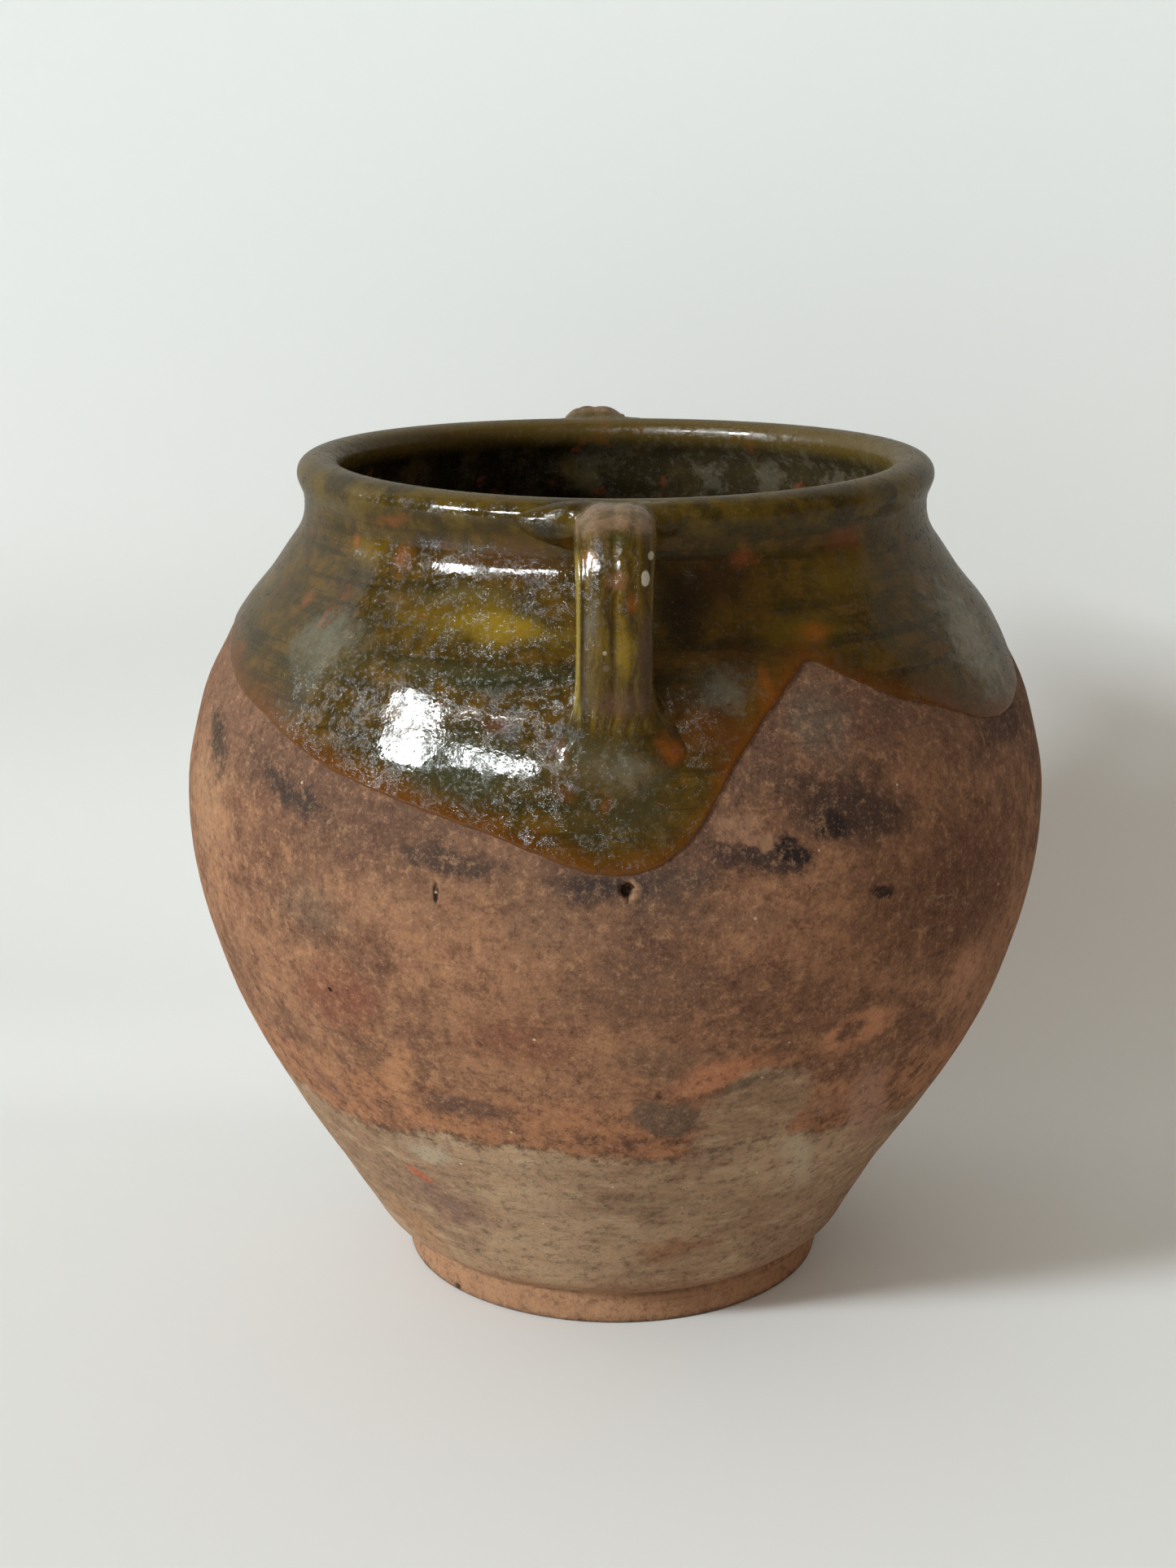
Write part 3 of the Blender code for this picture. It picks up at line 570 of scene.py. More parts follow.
def glaze_paint(place, strap=None):
    """Colour of the poured glaze, which pools green, breaks to ochre on ridges and turns amber where thin."""
    height = axes(place)[2]
    above_pour = minus(height, pour_height(place))
    drifted = wandering(place, 24, 3.5)
    ragged = plus(cloud(place, 20, 8, 0.72), -0.5)
    medium = cloud(place, 9.0, 7, 0.70)
    fine = cloud(place, 2.0, 5, 0.78)
    wheel = cloud(stretched(place, (0.07, 0.07, 1.0)), 5.0, 6, 0.72)
    paint = over(hue(66, 50, 12), hue(92, 66, 16), rising(medium, 0.42, 0.60))
    paint = over(paint, hue(42, 34, 10), times(rising(wheel, 0.48, 0.62), 0.7))

    def lay(colour, strength, degrees, height_mm, wide, tall, soft=0.9, fray=1.2, tilt=0.0):
        nonlocal paint
        share = patch(drifted, ragged, degrees, height_mm, wide, tall, soft, fray, tilt)
        paint = over(paint, hue(*colour), times(share, strength))

    # broad bands left by the throwing rings: ochre on the ridge, green in the hollows beside it
    for row in (
        ((80, 50, 18), 0.85, -22, 274.0, 34, 7.0), ((44, 28, 10), 0.85, -33, 276.5, 12, 6.0),
        ((82, 56, 30), 0.75, -12, 272.0, 14, 5.5), ((112, 84, 14), 0.8, -46, 272.0, 15, 8.0),
        ((64, 40, 16), 0.8, 16, 268.0, 20, 12.0), ((98, 76, 12), 0.8, 42, 266.0, 22, 12.0),
        ((106, 84, 16), 0.8, 110, 266.0, 60, 8.0), ((98, 76, 14), 0.8, 200, 268.0, 60, 8.0),
        ((104, 80, 16), 0.8, -105, 268.0, 40, 8.0), ((98, 82, 40), 0.75, -24, 262.5, 32, 4.0),
        ((122, 97, 24), 0.85, -20, 254.5, 40, 9.5, 1.0, 1.3),
        ((148, 118, 30), 0.8, -15, 253.5, 27, 5.6, 1.1, 1.8), ((100, 78, 12), 0.85, 28, 254.0, 26, 7.5, 1.0),
        ((106, 82, 14), 0.7, 120, 252.0, 50, 6.0), ((104, 80, 14), 0.7, 220, 252.0, 50, 5.0),
        ((106, 82, 14), 0.7, -80, 252.0, 24, 5.0), ((60, 58, 32), 0.85, -20, 241.5, 42, 5.0),
        ((38, 40, 18), 0.7, -15, 240.0, 30, 2.6), ((44, 40, 12), 0.85, 30, 243.0, 18, 4.5, 0.9, 1.2, 6),
        ((46, 44, 16), 0.8, 130, 236.0, 70, 8.0), ((46, 44, 16), 0.8, 215, 234.0, 60, 9.0),
        ((72, 68, 42), 0.75, -46, 242.0, 24, 13.0, 0.9, 2.0),
        ((56, 57, 34), 0.85, -18, 216.0, 40, 14.0, 0.9, 1.6), ((70, 66, 42), 0.6, -2, 226.0, 16, 9.0, 1.0, 2.6),
        ((62, 55, 32), 0.8, 2, 206.0, 26, 13.0, 0.9, 1.8),
        ((88, 46, 14), 0.75, 13, 230.0, 18, 16.0, 0.9, 1.4, -30),
        ((62, 38, 12), 0.7, 17, 246.0, 14, 12.0, 0.9, 1.4),
        ((66, 56, 30), 0.7, 12.5, 240.0, 11, 7.0, 0.9, 2.4, -40),
    ):
        lay(*row)
    bead = rising(height, 0.2795, 0.2835)
    bead_paint = over(hue(52, 40, 12), hue(94, 74, 18), rising(cloud(place, 15, 5, 0.65), 0.38, 0.60))
    paint = over(paint, bead_paint, times(bead, 0.8))
    # dark glaze of the smear under the rim, amber, grey and brown glaze by the strap, and painted shadow: the two
    # near-black ovals right of the front strap, at 10 and 14 degrees, are the front handle's shadow on the wall
    for row in (
        ((38, 30, 18), 0.85, -11, 284.5, 10, 5.0, 0.8, 1.0),
        ((112, 70, 18), 0.75, -6.6, 280.5, 4, 3.0, 0.8, 1.0), ((94, 84, 62), 0.5, -0.5, 220, 13, 9, 1.0, 3.2),
        ((96, 60, 22), 0.7, -6.2, 225, 5, 6, 0.8, 1.2), ((26, 17, 6), 0.92, 10, 260, 15, 18, 1.0, 1.0),
        ((40, 27, 8), 0.8, 14, 238, 10, 12, 1.0, 1.2), ((40, 26, 8), 0.6, -48, 262, 12, 10, 1.0, 1.4),
    ):
        lay(*row)
    # rust spots where iron bled through
    for colour, degrees, height_mm, wide, tall in (
        ((122, 68, 18), -37, 271, 4.8, 6.0), ((146, 84, 30), -50, 275.5, 4.8, 4.8),
        ((92, 52, 24), -14, 227.5, 7.8, 4.56), ((96, 58, 24), -6, 212.5, 6.0, 4.8),
        ((112, 66, 26), -1, 209, 4.2, 4.8), ((138, 72, 20), 6.5, 224.0, 7.2, 7.2),
        ((132, 76, 36), -57, 252, 6.0, 4.8), ((128, 74, 34), -49, 249, 3.6, 4.8),
        ((146, 80, 22), 30.5, 253.0, 8.4, 3.84), ((126, 72, 28), -40, 283.0, 10.8, 3.0),
        ((118, 62, 30), 42, 277.0, 9.6, 6.0), ((124, 64, 28), 22, 272, 7.2, 4.8),
        ((140, 78, 24), 20, 237, 4.8, 9.6), ((140, 76, 24), 95, 262.0, 8.4, 7.2),
        ((136, 72, 22), 150, 244.0, 7.2, 9.6), ((142, 80, 26), 215, 268.0, 9.6, 6.0),
        ((136, 74, 22), -95, 258.0, 7.2, 8.4), ((132, 70, 22), -150, 225.0, 8.4, 7.2),
        ((140, 78, 24), 176, 205.0, 7.2, 6.0),
    ):
        lay(colour, 0.7, degrees, height_mm, wide, tall, 1.0, 1.8)
    rust = rising(cloud(place, 12, 4, 0.6), 0.63, 0.72)
    paint = over(paint, hue(108, 56, 14), times(rust, 0.5))
    # thin amber glass along the poured edge, and glass worn grey on the right tongue, left shoulder and back
    thin = rising(plus(above_pour, times(ragged, 0.018)), 0.0110, -0.002)
    paint = over(paint, hue(104, 56, 10), times(thin, 0.85))
    flakes = plus(cloud(place, 6, 9, 0.86), -0.5)
    for strength, *place_and_size in (
        (0.85, 64, 240, 24, 26), (0.32, -46, 244, 24, 13), (0.3, 14, 240, 12, 9), (0.25, 2, 218, 12, 8),
        (0.4, 150, 250, 30, 14), (0.4, -120, 238, 24, 16),
    ):
        worn = patch(drifted, flakes, *place_and_size, 1.0, 3.4)
        paint = over(paint, hue(138, 133, 116), times(worn, strength))
    if strap:
        paint = strap(place, paint)
    paint = over(paint, hue(18, 13, 4), 0.2)
    speckled = times(rising(fine, 0.46, 0.26), 0.65)
    paint = over(paint, hue(24, 20, 10), speckled)
    paint = over(paint, hue(150, 124, 70), times(rising(fine, 0.58, 0.78), 0.3))
    return paint


def glaze_skin(shader, place, worn_low=0.60, worn_high=0.65, gloss=0.045):
    """Gloss that is broken by wear, pinholes and burst bubbles."""
    worn = rising(cloud(place, 9.0, 9, 0.84), worn_low, worn_high)
    scuffed = rising(cloud(place, 5.0, 9, 0.86), 0.54, 0.57)
    specks = rising(cloud(place, 1.9, 5, 0.8), 0.575, 0.60)
    rough = plus(heaped((worn, 0.12), (scuffed, 0.09), (specks, 0.50)), gloss)
    place.id_data.links.new(rough, shader.inputs["Roughness"])
    shader.inputs["IOR"].default_value = 1.55
    shader.inputs["Specular IOR Level"].default_value = 0.38
    bubble = rising(fed("TexVoronoi", place, None, 1000 / 4.0, feature="F1"), 0.085, 0.01)
    pits = rising(cloud(place, 1.8, 3, 0.6), 0.36, 0.30)
    waves, ripples, grain = cloud(place, 14.0, 2, 0.5), cloud(place, 4.0, 3, 0.6), cloud(place, 1.3, 3, 0.6)
    relief = heaped(
        (waves, 1.1), (ripples, 0.55), (worn, -0.10), (scuffed, -0.10), (grain, 0.06), (bubble, 0.4), (pits, -0.45),
    )
    emboss(shader, relief, 0.34, 0.6 * MM)


def poured_glaze():
    material, tree, shader, place = new_material("poured_glaze")
    tree.links.new(glaze_paint(place), shader.inputs["Base Color"])
    glaze_skin(shader, place)
    return material


outer_coat.data.materials.append(poured_glaze())
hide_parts("outer_glaze_coat")
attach(outer_coat, "root")

# Glass lining.
# The same glaze, swilled round the inside and poured out again. Soot and use have made it nearly black.
lining_base = [*clay_rim[CREST:], *inner_wall, *floor_corner]
lining_face = beside(lining_base, GLAZE)
lining_back = beside(lining_base, -INTO_CLAY)
lining_face[-1].x = lining_back[-1].x = 0.0
lining = throw("glass_lining", [*lining_face, *reversed(lining_back)])
settle(lining)


def dark_lining():
    material, tree, shader, place = new_material("dark_lining")
    across, _, height = axes(place)
    medium = cloud(place, 12.0, 6, 0.68)
    paint = over(hue(24, 20, 8), hue(62, 50, 24), rising(medium, 0.45, 0.66))
    scuffs = rising(cloud(place, 16.0, 9, 0.80), 0.47, 0.58)
    # painted light: the inside is made lighter on its right, where the window shines in, and its real scuffs are
    # laid mostly on that lit side
    right = rising(across, -0.06, 0.06)
    paint = over(paint, hue(66, 56, 36), times(right, 0.6))
    paint = over(paint, hue(104, 96, 78), times(scuffs, times(plus(right, 0.15), 0.45)))
    paint = over(paint, hue(112, 60, 30), times(rising(cloud(place, 15, 4, 0.6), 0.60, 0.68), 0.75))
    paint = over(paint, hue(86, 68, 26), times(rising(height, 0.281, 0.288), 0.8))
    paint = over(paint, hue(58, 48, 30), times(rising(height, 0.16, 0.02), 0.6))
    tree.links.new(paint, shader.inputs["Base Color"])
    glaze_skin(shader, place, 0.52, 0.58, 0.10)
    return material


lining.data.materials.append(dark_lining())
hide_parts("inner_glaze_lining")
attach(lining, "root")

# Strap handles with their luting clay.
# Each strap was pulled by hand, with finger grooves down its outer face, luted on with soft clay at the
# rim and thumbed down on to the shoulder, and then glazed with the pot.
STRAP_STEPS = 9
# Distance from the pot's axis and height of the strap's middle, and at each of these points the shares of its full
# width and thickness and the droop of its edges. All lengths are in millimetres.
STRAP_LINE = (
    (112.6, 289.9), (117.6, 290.0), (123.0, 288.6), (128.4, 285.2), (132.4, 279.4), (135.0, 271.0),
    (136.3, 259.0), (136.7, 246.0),
)
STRAP_SIZES = (
    (1.06, 1.0, 3.0), (1.04, 1.0, 4.0), (1.04, 1.0, 4.6), (1.02, 0.97, 4.0), (0.99, 0.94, 2.2),
    (0.96, 0.92, 1.0), (0.95, 0.92, 0.5), (0.97, 0.95, 0.5),
)
# The strap's section, across and outwards, with the finger grooves in its outer face
STRAP_SECTION = (
    (-12.0, 0.0), (-11.7, 1.9), (-10.9, 3.1), (-9.7, 2.95), (-8.3, 3.6), (-6.2, 4.3), (-3.8, 4.6), (-1.6, 4.4),
    (0.0, 4.1), (2.0, 4.5), (4.2, 4.5), (5.8, 4.1), (7.4, 4.1), (9.4, 3.4), (11.2, 2.1), (12.0, 0.0),
    (11.2, -2.5), (8.8, -3.9), (4.5, -4.4), (0.0, -4.5), (-4.5, -4.4), (-8.8, -3.9), (-11.2, -2.5),
)
# Twelve points round each root, from its left end over the outer face: across, way down the wall from the
# rim's crest (at the rim) or height (at the shoulder), pull out of the strap, softness and swell
RIM_ROOT = (
    (-32.0, 10.5, 2.5, 11.0, 6.5), (-22.0, 5.0, 3.0, 8.0, 3.4), (-13.5, 1.6, 4.0, 5.0, 1.0),
    (0.0, 0.2, 5.5, 4.0, 0.0), (12.0, 1.0, 4.5, 4.5, 0.4), (19.0, 4.0, 3.0, 6.0, 1.4),
    (21.5, 11.0, 2.0, 7.0, 2.2), (17.0, 19.0, 1.5, 6.0, 1.0), (6.0, 22.5, 1.5, 6.0, 0.0),
    (-5.0, 22.5, 1.5, 6.0, 0.4), (-15.5, 20.5, 1.5, 5.5, 4.0), (-26.5, 16.5, 2.0, 8.0, 7.5),
)
SHOULDER_ROOT = (
    (-16.0, 226.5, 14.0, 4.0, 0.2), (-18.0, 220.0, 16.0, 8.0, 0.9), (-13.0, 212.5, 19.0, 12.0, 2.0),
    (0.0, 208.5, 21.0, 14.0, 2.4), (14.0, 211.0, 19.0, 12.0, 2.0), (22.5, 219.0, 16.0, 9.0, 1.2),
    (20.5, 227.0, 13.0, 6.5, 0.4), (13.4, 239.0, 6.5, 4.0, 0.0), (5.0, 249.0, 3.0, 3.0, 0.0),
    (-4.0, 249.5, 3.0, 3.0, 0.0), (-10.0, 246.0, 4.0, 3.5, 0.0), (-13.2, 236.0, 8.0, 4.0, 0.0),
)
ROUND, ROOT_STEPS, FINE_STEPS = 112, 14, 1200
EDGE_SUNK, EDGE_LIFT = 0.35 * MM, 0.15
ROOT_DEEP, ROOT_BACK = 2.2 * MM, 3.0 * MM
# Depth in millimetres and number a metre of the thumb's marks, and how wavy the strap was pulled
THUMB_MARKS = ((0.5, 170), (0.35, 420))
WAVE, WAVES_A_METRE = 0.22 * MM, 130
# The strap's edges droop to nothing at this half width, and its crown rises over a run in height and outwards
DROOP_HALF = 12.4
RISE_UP, RISE_OUT = (250 * MM, 35 * MM), (108.5 * MM, 7 * MM)

wall_way = list(reversed(coat_line))
ways = [0.0]
for above, below in zip(wall_way, wall_way[1:]):
    ways.append(ways[-1] + (above - below).length)


def spot_on_wall(across, way):
    """A place on the glazed wall and its normal, by the way across from the front and down from the rim's crest."""
    i = max(k for k, far in enumerate(ways[:-1]) if far <= max(way, 0.0))
    share = (way - ways[i]) / (ways[i + 1] - ways[i])
    point = wall_way[i].lerp(wall_way[i + 1], share)
    down = (wall_way[i + 1] - wall_way[i]).normalized()
    turn = across / point.x
    normal = Vector((math.sin(turn) * -down.y, -math.cos(turn) * -down.y, down.x))
    return Vector((point.x * math.sin(turn), -point.x * math.cos(turn), point.y)), normal


def way_down_to(height):
    for i in range(len(ways) - 1, 0, -1):
        if wall_way[i].y <= height <= wall_way[i - 1].y:
            slope = (ways[i - 1] - ways[i]) / (wall_way[i].y - wall_way[i - 1].y)
            return ways[i] + (wall_way[i].y - height) * slope
    return ways[-1]


def round_and_round(knots, share):
    """A value on a smooth closed curve through the knots."""
    place = (share % 1.0) * len(knots)
    k, t = int(place), place % 1.0
    a, b, c, d = [Vector(knots[(k + step) % len(knots)]) for step in (-1, 0, 1, 2)]
    return b + 0.5 * t * ((c - a) + t * (2 * a - 5 * b + 4 * c - d + t * (3 * (b - c) + d - a)))


def section_points():
    """The strap's section, at even steps round it from its left edge."""
    fine = [round_and_round(STRAP_SECTION, i / FINE_STEPS) for i in range(FINE_STEPS)]
    run = [0.0]
    for before, after in zip(fine, [*fine[1:], fine[0]]):
        run.append(run[-1] + (after - before).length)
    points, k = [], 0
    for i in range(ROUND):
        while run[k + 1] <= run[-1] * i / ROUND:
            k += 1
        points.append(fine[k])
    return points


def root_rings(ring, aim, knots, at_rim):
    """Rings of soft clay that flow from the strap's end ring on to the wall, and a last one inside the wall."""
    rings = [[] for _ in range(ROOT_STEPS + 1)]
    for i, start in enumerate(ring):
        across, way, pull, soft, swell = round_and_round(knots, i / ROUND)
        way = way * MM if at_rim else way_down_to(way * MM)
        end, normal = spot_on_wall(across * MM, way)
        back = start - end
        back = (back - normal * back.dot(normal)).normalized()
        sunk = end - normal * EDGE_SUNK
        first = start + aim * pull * MM
        second = sunk + back * soft * MM + normal * (swell + EDGE_LIFT) * MM
        for step in range(1, ROOT_STEPS + 1):
            t = step / ROOT_STEPS
            spot = start * (1 - t) ** 3 + first * 3 * t * (1 - t) ** 2 + second * 3 * t * t * (1 - t) + sunk * t**3
            thumbed = sum(deep * noise.noise(spot * a_metre) for deep, a_metre in THUMB_MARKS)
            rings[step - 1].append(spot + normal * thumbed * MM * 4 * t * t * (1 - t))
        rings[-1].append(end - normal * ROOT_DEEP + back * ROOT_BACK)
    return rings


def clay_rings(name, rings):
    """A closed lump or strap through a row of rings, capped at both ends."""
    bpy.ops.object.select_all(action="DESELECT")
    bpy.ops.mesh.primitive_circle_add(vertices=ROUND, radius=0.01, location=(0, 0, 0))
    piece = bpy.context.object
    piece.name = piece.data.name = name
    bpy.ops.object.mode_set(mode="EDIT")
    for _ in rings[1:]:
        bpy.ops.mesh.extrude_region_move(TRANSFORM_OT_translate={"value": (0, 0, 0.001)})
    bpy.ops.object.mode_set(mode="OBJECT")
    for corner, place in zip(piece.data.vertices, [place for ring in rings for place in ring]):
        corner.co = place
    bpy.ops.object.mode_set(mode="EDIT")
    bpy.ops.mesh.select_all(action="SELECT")
    bpy.ops.mesh.fill_holes(sides=0)
    bpy.ops.mesh.select_all(action="SELECT")
    bpy.ops.mesh.normals_make_consistent(inside=False)
    bpy.ops.object.mode_set(mode="OBJECT")
    bpy.ops.object.shade_smooth_by_angle(angle=math.radians(60))
    return piece


# Paint on the strap lies in ovals that stand at its middle and are as deep as the strap
STRAP_OUT, STRAP_DEEP = 128 * MM, 30 * MM


def strap_paint(turn):
    """Paints what stands proud of the wall: streaks down the strap, a worn crown and chips."""

    def lay_strap(place, paint):
        turned = fed("Mapping", place, None, (0.0, 0.0, -turn), vector_type="POINT")
        across, back, up = axes(turned)
        on_strap = rising(minus(times(back, -1.0), wall_radius(up)), 0.0030, 0.0065)
        wander = times(plus(cloud(place, 24, 3, 0.6), -0.5), 0.010)
        fibre = fed("CombineXYZ", plus(across, wander), 0.0, times(up, 0.07))
        streaks = cloud(fibre, 3.2, 5, 0.68)
        flecks = plus(cloud(place, 7, 7, 0.8), -0.5)
        glass = over(hue(92, 70, 16), hue(60, 44, 16), rising(streaks, 0.42, 0.62))
        glass = over(glass, hue(122, 94, 20), times(rising(streaks, 0.50, 0.34), 0.55))

        def lay(below, colour, strength, x, z, wide, tall, soft=0.8, fray=1.2):
            spot, size = (x * MM, -STRAP_OUT, z * MM), (wide * MM, STRAP_DEEP, tall * MM)
            inside = fed("Mapping", turned, spot, None, size, vector_type="TEXTURE")
            share = rising(plus(length_of(inside), times(flecks, fray)), 1.0 - soft, 1.0, 1.0, 0.0)
            return over(below, hue(*colour), times(share, strength))

        for row in (
            ((84, 62, 46), 0.85, 9.5, 252, 4.5, 24), ((142, 112, 24), 0.8, 3.0, 254, 5.0, 14),
            ((136, 74, 22), 0.85, 4.8, 267.5, 2.6, 5.0), ((134, 92, 62), 0.75, 0.5, 274.0, 5.5, 4.5),
            ((150, 104, 62), 0.8, -7.5, 280.0, 4.0, 3.5),
            ((100, 92, 74), 0.7, -6.5, 262.0, 4.0, 12.0, 0.8, 2.0),
            ((112, 92, 72), 0.8, -2.5, 248.5, 1.4, 1.4, 0.4),
            ((166, 154, 124), 0.9, -2.9, 253.0, 0.9, 0.9, 0.3, 0.5),
            ((190, 184, 168), 0.95, 9.0, 274.5, 1.4, 2.6, 0.2, 0.9),
            ((176, 170, 150), 0.95, 10.6, 280.6, 1.0, 1.4, 0.2, 0.9), ((96, 66, 48), 0.8, 2, 238, 16, 7),
        ):
            glass = lay(glass, *row)
        worn = times(rising(plus(up, times(flecks, 0.008)), 0.283, 0.291), 0.85)
        crown = over(hue(148, 118, 92), hue(112, 92, 66), rising(cloud(place, 6, 6, 0.7), 0.42, 0.6))
        glass = over(glass, crown, worn)
        glass = lay(glass, (66, 58, 18), 0.85, 1.0, 285.5, 6.0, 3.6)
        edge = times(rising(across, -0.0095, -0.0108), rising(across, -0.0128, -0.0118))
        glass = over(glass, hue(150, 128, 50), times(times(edge, rising(up, 0.284, 0.278)), 0.75))
        beside_edge = times(rising(across, -0.0076, -0.0088), rising(across, -0.0106, -0.0094))
        glass = over(glass, hue(44, 34, 18), times(times(beside_edge, rising(up, 0.278, 0.268)), 0.7))
        return over(paint, glass, on_strap)

    return lay_strap


def wall_radius(up):
    """The glazed wall's radius at a height, from a curve through the wall's line."""
    tall, widest = CURVE_TALL_MM * MM, 0.2
    profile = [(point.y / tall, point.x / widest) for point in coat_line[::2] if point.y < 0.292]
    return times(read_off(times(up, 1 / tall), profile), widest)


def handle_glass(side, turn):
    material, tree, shader, place = new_material(f"{side}_handle_glass")
    tree.links.new(glaze_paint(place, strap_paint(turn)), shader.inputs["Base Color"])
    glaze_skin(shader, place, 0.56, 0.61, 0.08)
    return material


def make_handle(side, turn, rise):
    glass = handle_glass(side, turn)
    line = [MM * point for point in smooth_line(STRAP_LINE, STRAP_STEPS)]
    sizes = smooth_line(STRAP_SIZES, STRAP_STEPS)
    section = section_points()
    strap, aims = [], []
    for i, (spot, (wide, thick, droop)) in enumerate(zip(line, sizes)):
        along = (line[min(i + 1, len(line) - 1)] - line[max(i - 1, 0)]).normalized()
        aim = Vector((0, -along.x, along.y))
        outward = aim.cross(Vector((1, 0, 0)))
        middle = Vector((0, -spot.x, spot.y))
        ring = []
        for across, lift in section:
            sunk = droop * (1 - math.sqrt(1 - min(abs(across) / DROOP_HALF, 1.0) ** 2))
            ring.append(middle + Vector((across * wide * MM, 0, 0)) + outward * (lift * thick - sunk) * MM)
        strap.append([place + outward * WAVE * noise.noise(place * WAVES_A_METRE) for place in ring])
        aims.append(aim)
    upper = [strap[0], *root_rings(strap[0], -aims[0], RIM_ROOT, True)]
    lower = [strap[-1], *root_rings(strap[-1], aims[-1], SHOULDER_ROOT, False)]
    for name, rings, stands_for, slot in (
        ("strap", strap, "handle", "handle_glaze"), ("rim_luting", upper, "upper_luting", "luting_glaze"),
        ("thumbed_luting", lower, "lower_luting", "luting_glaze"),
    ):
        piece = clay_rings(f"{side}_{name}", rings)
        for corner in piece.data.vertices:
            x, y, z = corner.co
            z += rise * MM * ramp(z, *RISE_UP) * ramp(-y, *RISE_OUT)
            cosine, sine = math.cos(turn), math.sin(turn)
            corner.co = settled(Vector((x * cosine - y * sine, x * sine + y * cosine, z)))
        piece.data.update()
        piece.data.materials.append(glass)
        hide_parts(f"{side}_{stands_for}")
        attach(piece, "root")


make_handle("front", 0.0, 0.0)
make_handle("back", math.radians(184), 2.5)

# Studio sweep.
# A pale sheet of card that lies under the pot and curves up behind it. It is clear from its back, so that the
# pot can be seen from all round.
CARD_WIDE, CARD_TALL, CARD_BACK, CARD_FRONT = 6.0, 1.1, 0.265, -2.9
COVE, COVE_STEPS = 0.17, 24
bpy.ops.object.select_all(action="DESELECT")
bpy.ops.mesh.primitive_plane_add(size=1.0, location=(0, 0, 0))
sweep = bpy.context.object
sweep.name = sweep.data.name = "studio_sweep"
bpy.ops.object.mode_set(mode="EDIT")
bpy.ops.transform.resize(value=(CARD_WIDE, 1, 1))
bpy.ops.mesh.select_all(action="DESELECT")
bpy.ops.object.mode_set(mode="OBJECT")
for edge in sweep.data.edges:
    edge.select = all(sweep.data.vertices[i].co.y > 0 for i in edge.vertices)
bpy.ops.object.mode_set(mode="EDIT")
bpy.ops.transform.translate(value=(0, CARD_BACK - 0.5, 0))
bpy.ops.mesh.extrude_region_move(TRANSFORM_OT_translate={"value": (0, 0, CARD_TALL)})
bpy.ops.mesh.select_all(action="DESELECT")
bpy.ops.object.mode_set(mode="OBJECT")
for corner in sweep.data.vertices:
    corner.select = corner.co.y < 0
bpy.ops.object.mode_set(mode="EDIT")
bpy.ops.transform.translate(value=(0, CARD_FRONT + 0.5, 0))
bpy.ops.mesh.select_all(action="DESELECT")
bpy.ops.object.mode_set(mode="OBJECT")
for edge in sweep.data.edges:
    ends = [sweep.data.vertices[i].co for i in edge.vertices]
    edge.select = all(end.y > 0 and abs(end.z) < MM for end in ends)
bpy.ops.object.mode_set(mode="EDIT")
bpy.ops.mesh.bevel(offset=COVE, segments=COVE_STEPS, affect="EDGES")
bpy.ops.object.mode_set(mode="OBJECT")
bpy.ops.object.shade_smooth()
if min(sweep.data.polygons, key=lambda face: face.center.z).normal.z < 0:
    sweep.data.flip_normals()

# Table top.
# It lies just under the card, and behind it when the pot is seen from the back.
TABLE_WIDE, TABLE_DOWN = 9.0, 0.6 * MM
bpy.ops.object.select_all(action="DESELECT")
bpy.ops.mesh.primitive_plane_add(size=TABLE_WIDE, location=(0, 0, -TABLE_DOWN))
table = bpy.context.object
table.name = table.data.name = "table_top"
bpy.ops.object.transform_apply(location=True)
bpy.ops.object.mode_set(mode="EDIT")
bpy.ops.mesh.subdivide(number_cuts=3)
bpy.ops.object.mode_set(mode="OBJECT")


def pale_card():
    material, tree, shader, place = new_material("pale_card")
    across, _, height = axes(place)
    paint = over(hue(224, 223, 220), hue(226, 229, 227), rising(height, 0.0, 0.5))
    # painted shade: the card is made darker to the left, and more so in the cove
    left_card_shade = rising(across, 0.05, -0.35)
    in_cove = times(rising(height, 0.0, 0.03), rising(height, 0.24, 0.12))
    paint = over(paint, hue(196, 196, 192), times(left_card_shade, plus(times(in_cove, 0.5), 0.25)))
    # painted reflection: the card is darker where it is seen in the glaze's shine
    paint = over(paint, hue(128, 124, 114), times(node(tree, "LightPath").outputs["Is Glossy Ray"], 0.9))
    tree.links.new(paint, shader.inputs["Base Color"])
    shader.inputs["Roughness"].default_value = 0.7
    behind = node(tree, "NewGeometry").outputs["Backfacing"]
    one_sided = node(tree, "MixShader", behind, shader.outputs[0], node(tree, "BsdfTransparent").outputs[0])
    tree.links.new(one_sided.outputs[0], tree.nodes["Material Output"].inputs["Surface"])
    return material


card = pale_card()
sweep.data.materials.append(card)
table.data.materials.append(card)

# Light.
# One bright window to the left gives the light. Two panes beside it show only in the glaze's shine, and the rest is
# a warm room that is dimmer in that shine.
TARGET = Vector((0, 0, 0.16))
WINDOW_FAR = 8.0


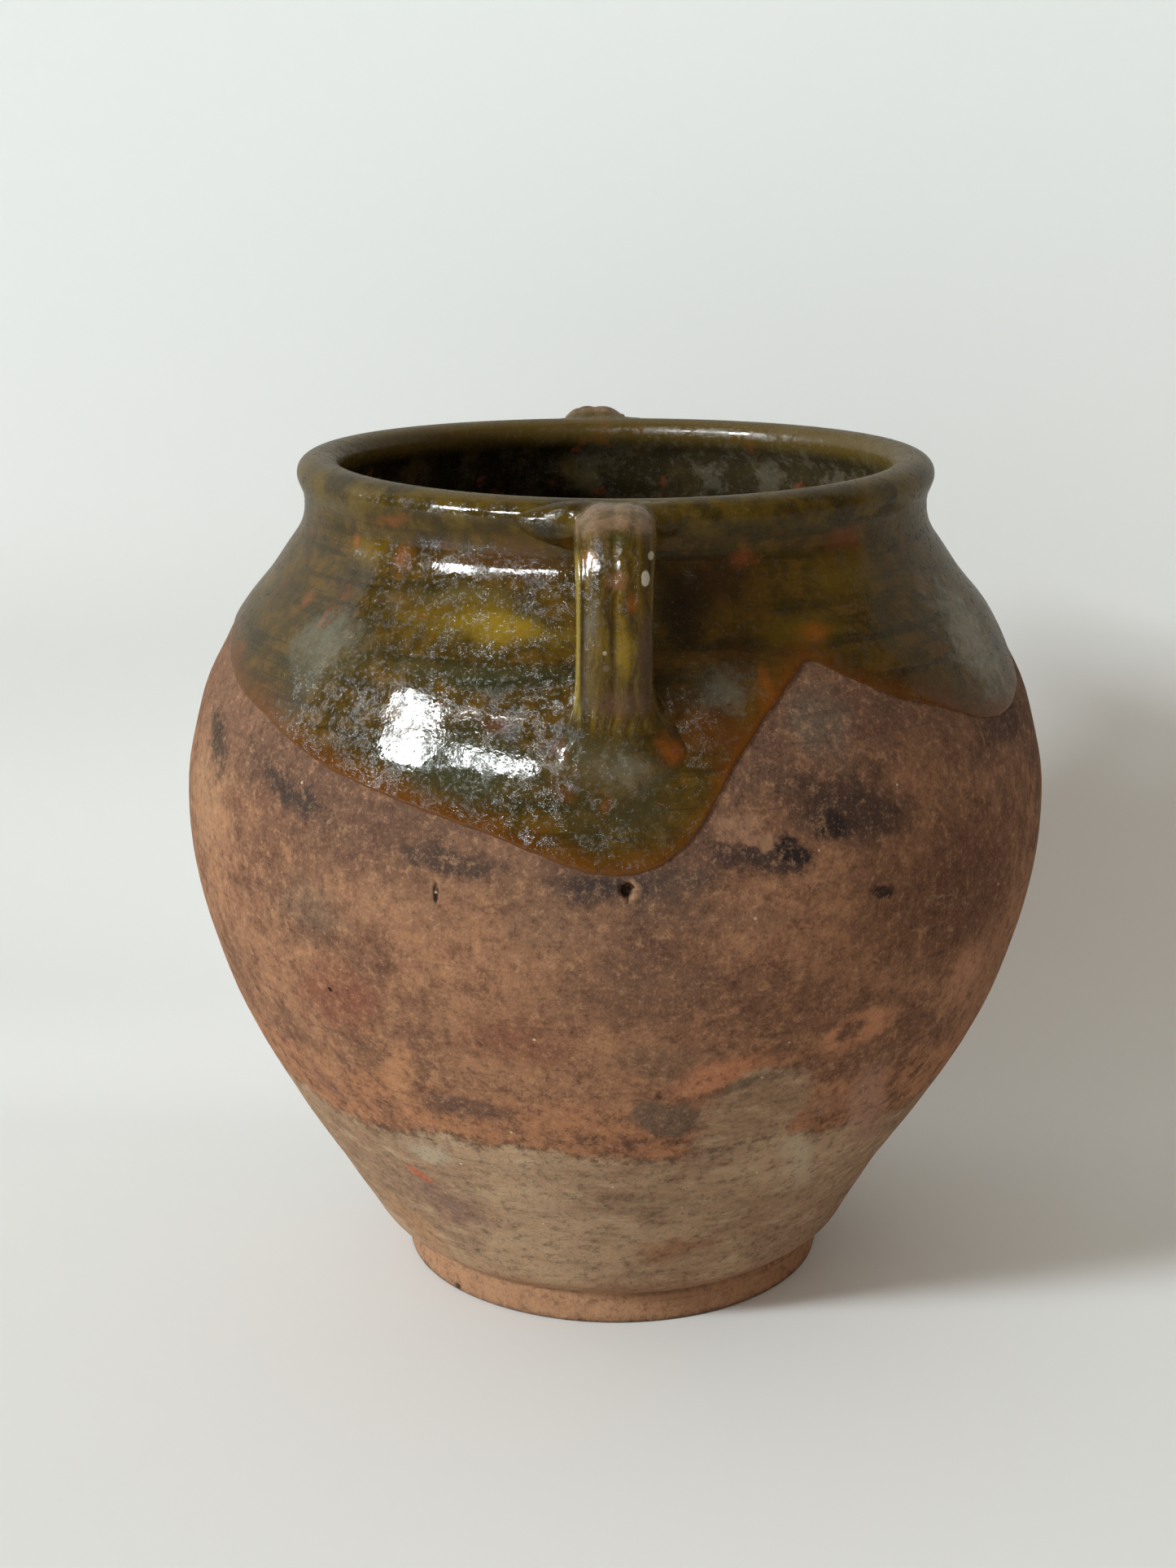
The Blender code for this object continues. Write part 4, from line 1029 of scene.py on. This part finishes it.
def add_window(name, turn, rise, wide, tall, energy, colour):
    turn, rise = math.radians(turn), math.radians(rise)
    bpy.ops.object.light_add(type="AREA")
    window = bpy.context.object
    window.name = name
    level = math.cos(rise)
    aim = Vector((math.sin(turn) * level, -math.cos(turn) * level, math.sin(rise)))
    window.location = TARGET + WINDOW_FAR * aim
    window.rotation_euler = (TARGET - window.location).to_track_quat("-Z", "Y").to_euler()
    window.data.shape = "RECTANGLE"
    window.data.size, window.data.size_y = wide, tall
    window.data.energy = energy
    window.data.color = colour
    return window


add_window("bright_window", -60, 26, 1.35, 1.2, 660, (0.91, 1.0, 1.05))
for pane in (("middle_pane", -61, 31, 1.9, 1.3, 300), ("right_pane", -34, 31, 3.0, 1.2, 440)):
    add_window(*pane, (0.96, 1.0, 1.02)).visible_diffuse = False

world = bpy.data.worlds.new("room")
bpy.context.scene.world = world
world.use_nodes = True
tree = world.node_tree
ahead = axes(node(tree, "TexCoord").outputs["Generated"])
side = rising(times(ahead[0], -1.0), -0.3, 0.9)
room = over((0.44, 0.385, 0.325, 1.0), (0.62, 0.59, 0.54, 1.0), side)
room = over((0.12, 0.105, 0.09, 1.0), room, rising(ahead[2], -0.25, 0.05))
shine = node(tree, "LightPath").outputs["Is Glossy Ray"]
room = over(room, (0.03, 0.026, 0.022, 1.0), times(shine, 0.88))
tree.links.new(room, tree.nodes["Background"].inputs[0])
tree.nodes["Background"].inputs[1].default_value = 1.0

# Camera.
# It stands where the photograph was taken from. The sizes of the photograph and of its lens are in pixels.
LOOKS_DOWN, LOOKS_LEFT = 15.53, 0.651
PHOTO_TALL, PHOTO_LENS, SENSOR = 1927, 2950, 36
aim = (math.radians(90 - LOOKS_DOWN), 0, math.radians(LOOKS_LEFT))
bpy.ops.object.camera_add(location=(0, -0.8312, 0.40494), rotation=aim)
camera = bpy.context.object
camera.data.sensor_fit = "VERTICAL"
camera.data.sensor_height = SENSOR
camera.data.lens = PHOTO_LENS / PHOTO_TALL * SENSOR
bpy.context.scene.camera = camera
bpy.context.scene.view_settings.view_transform = "Standard"
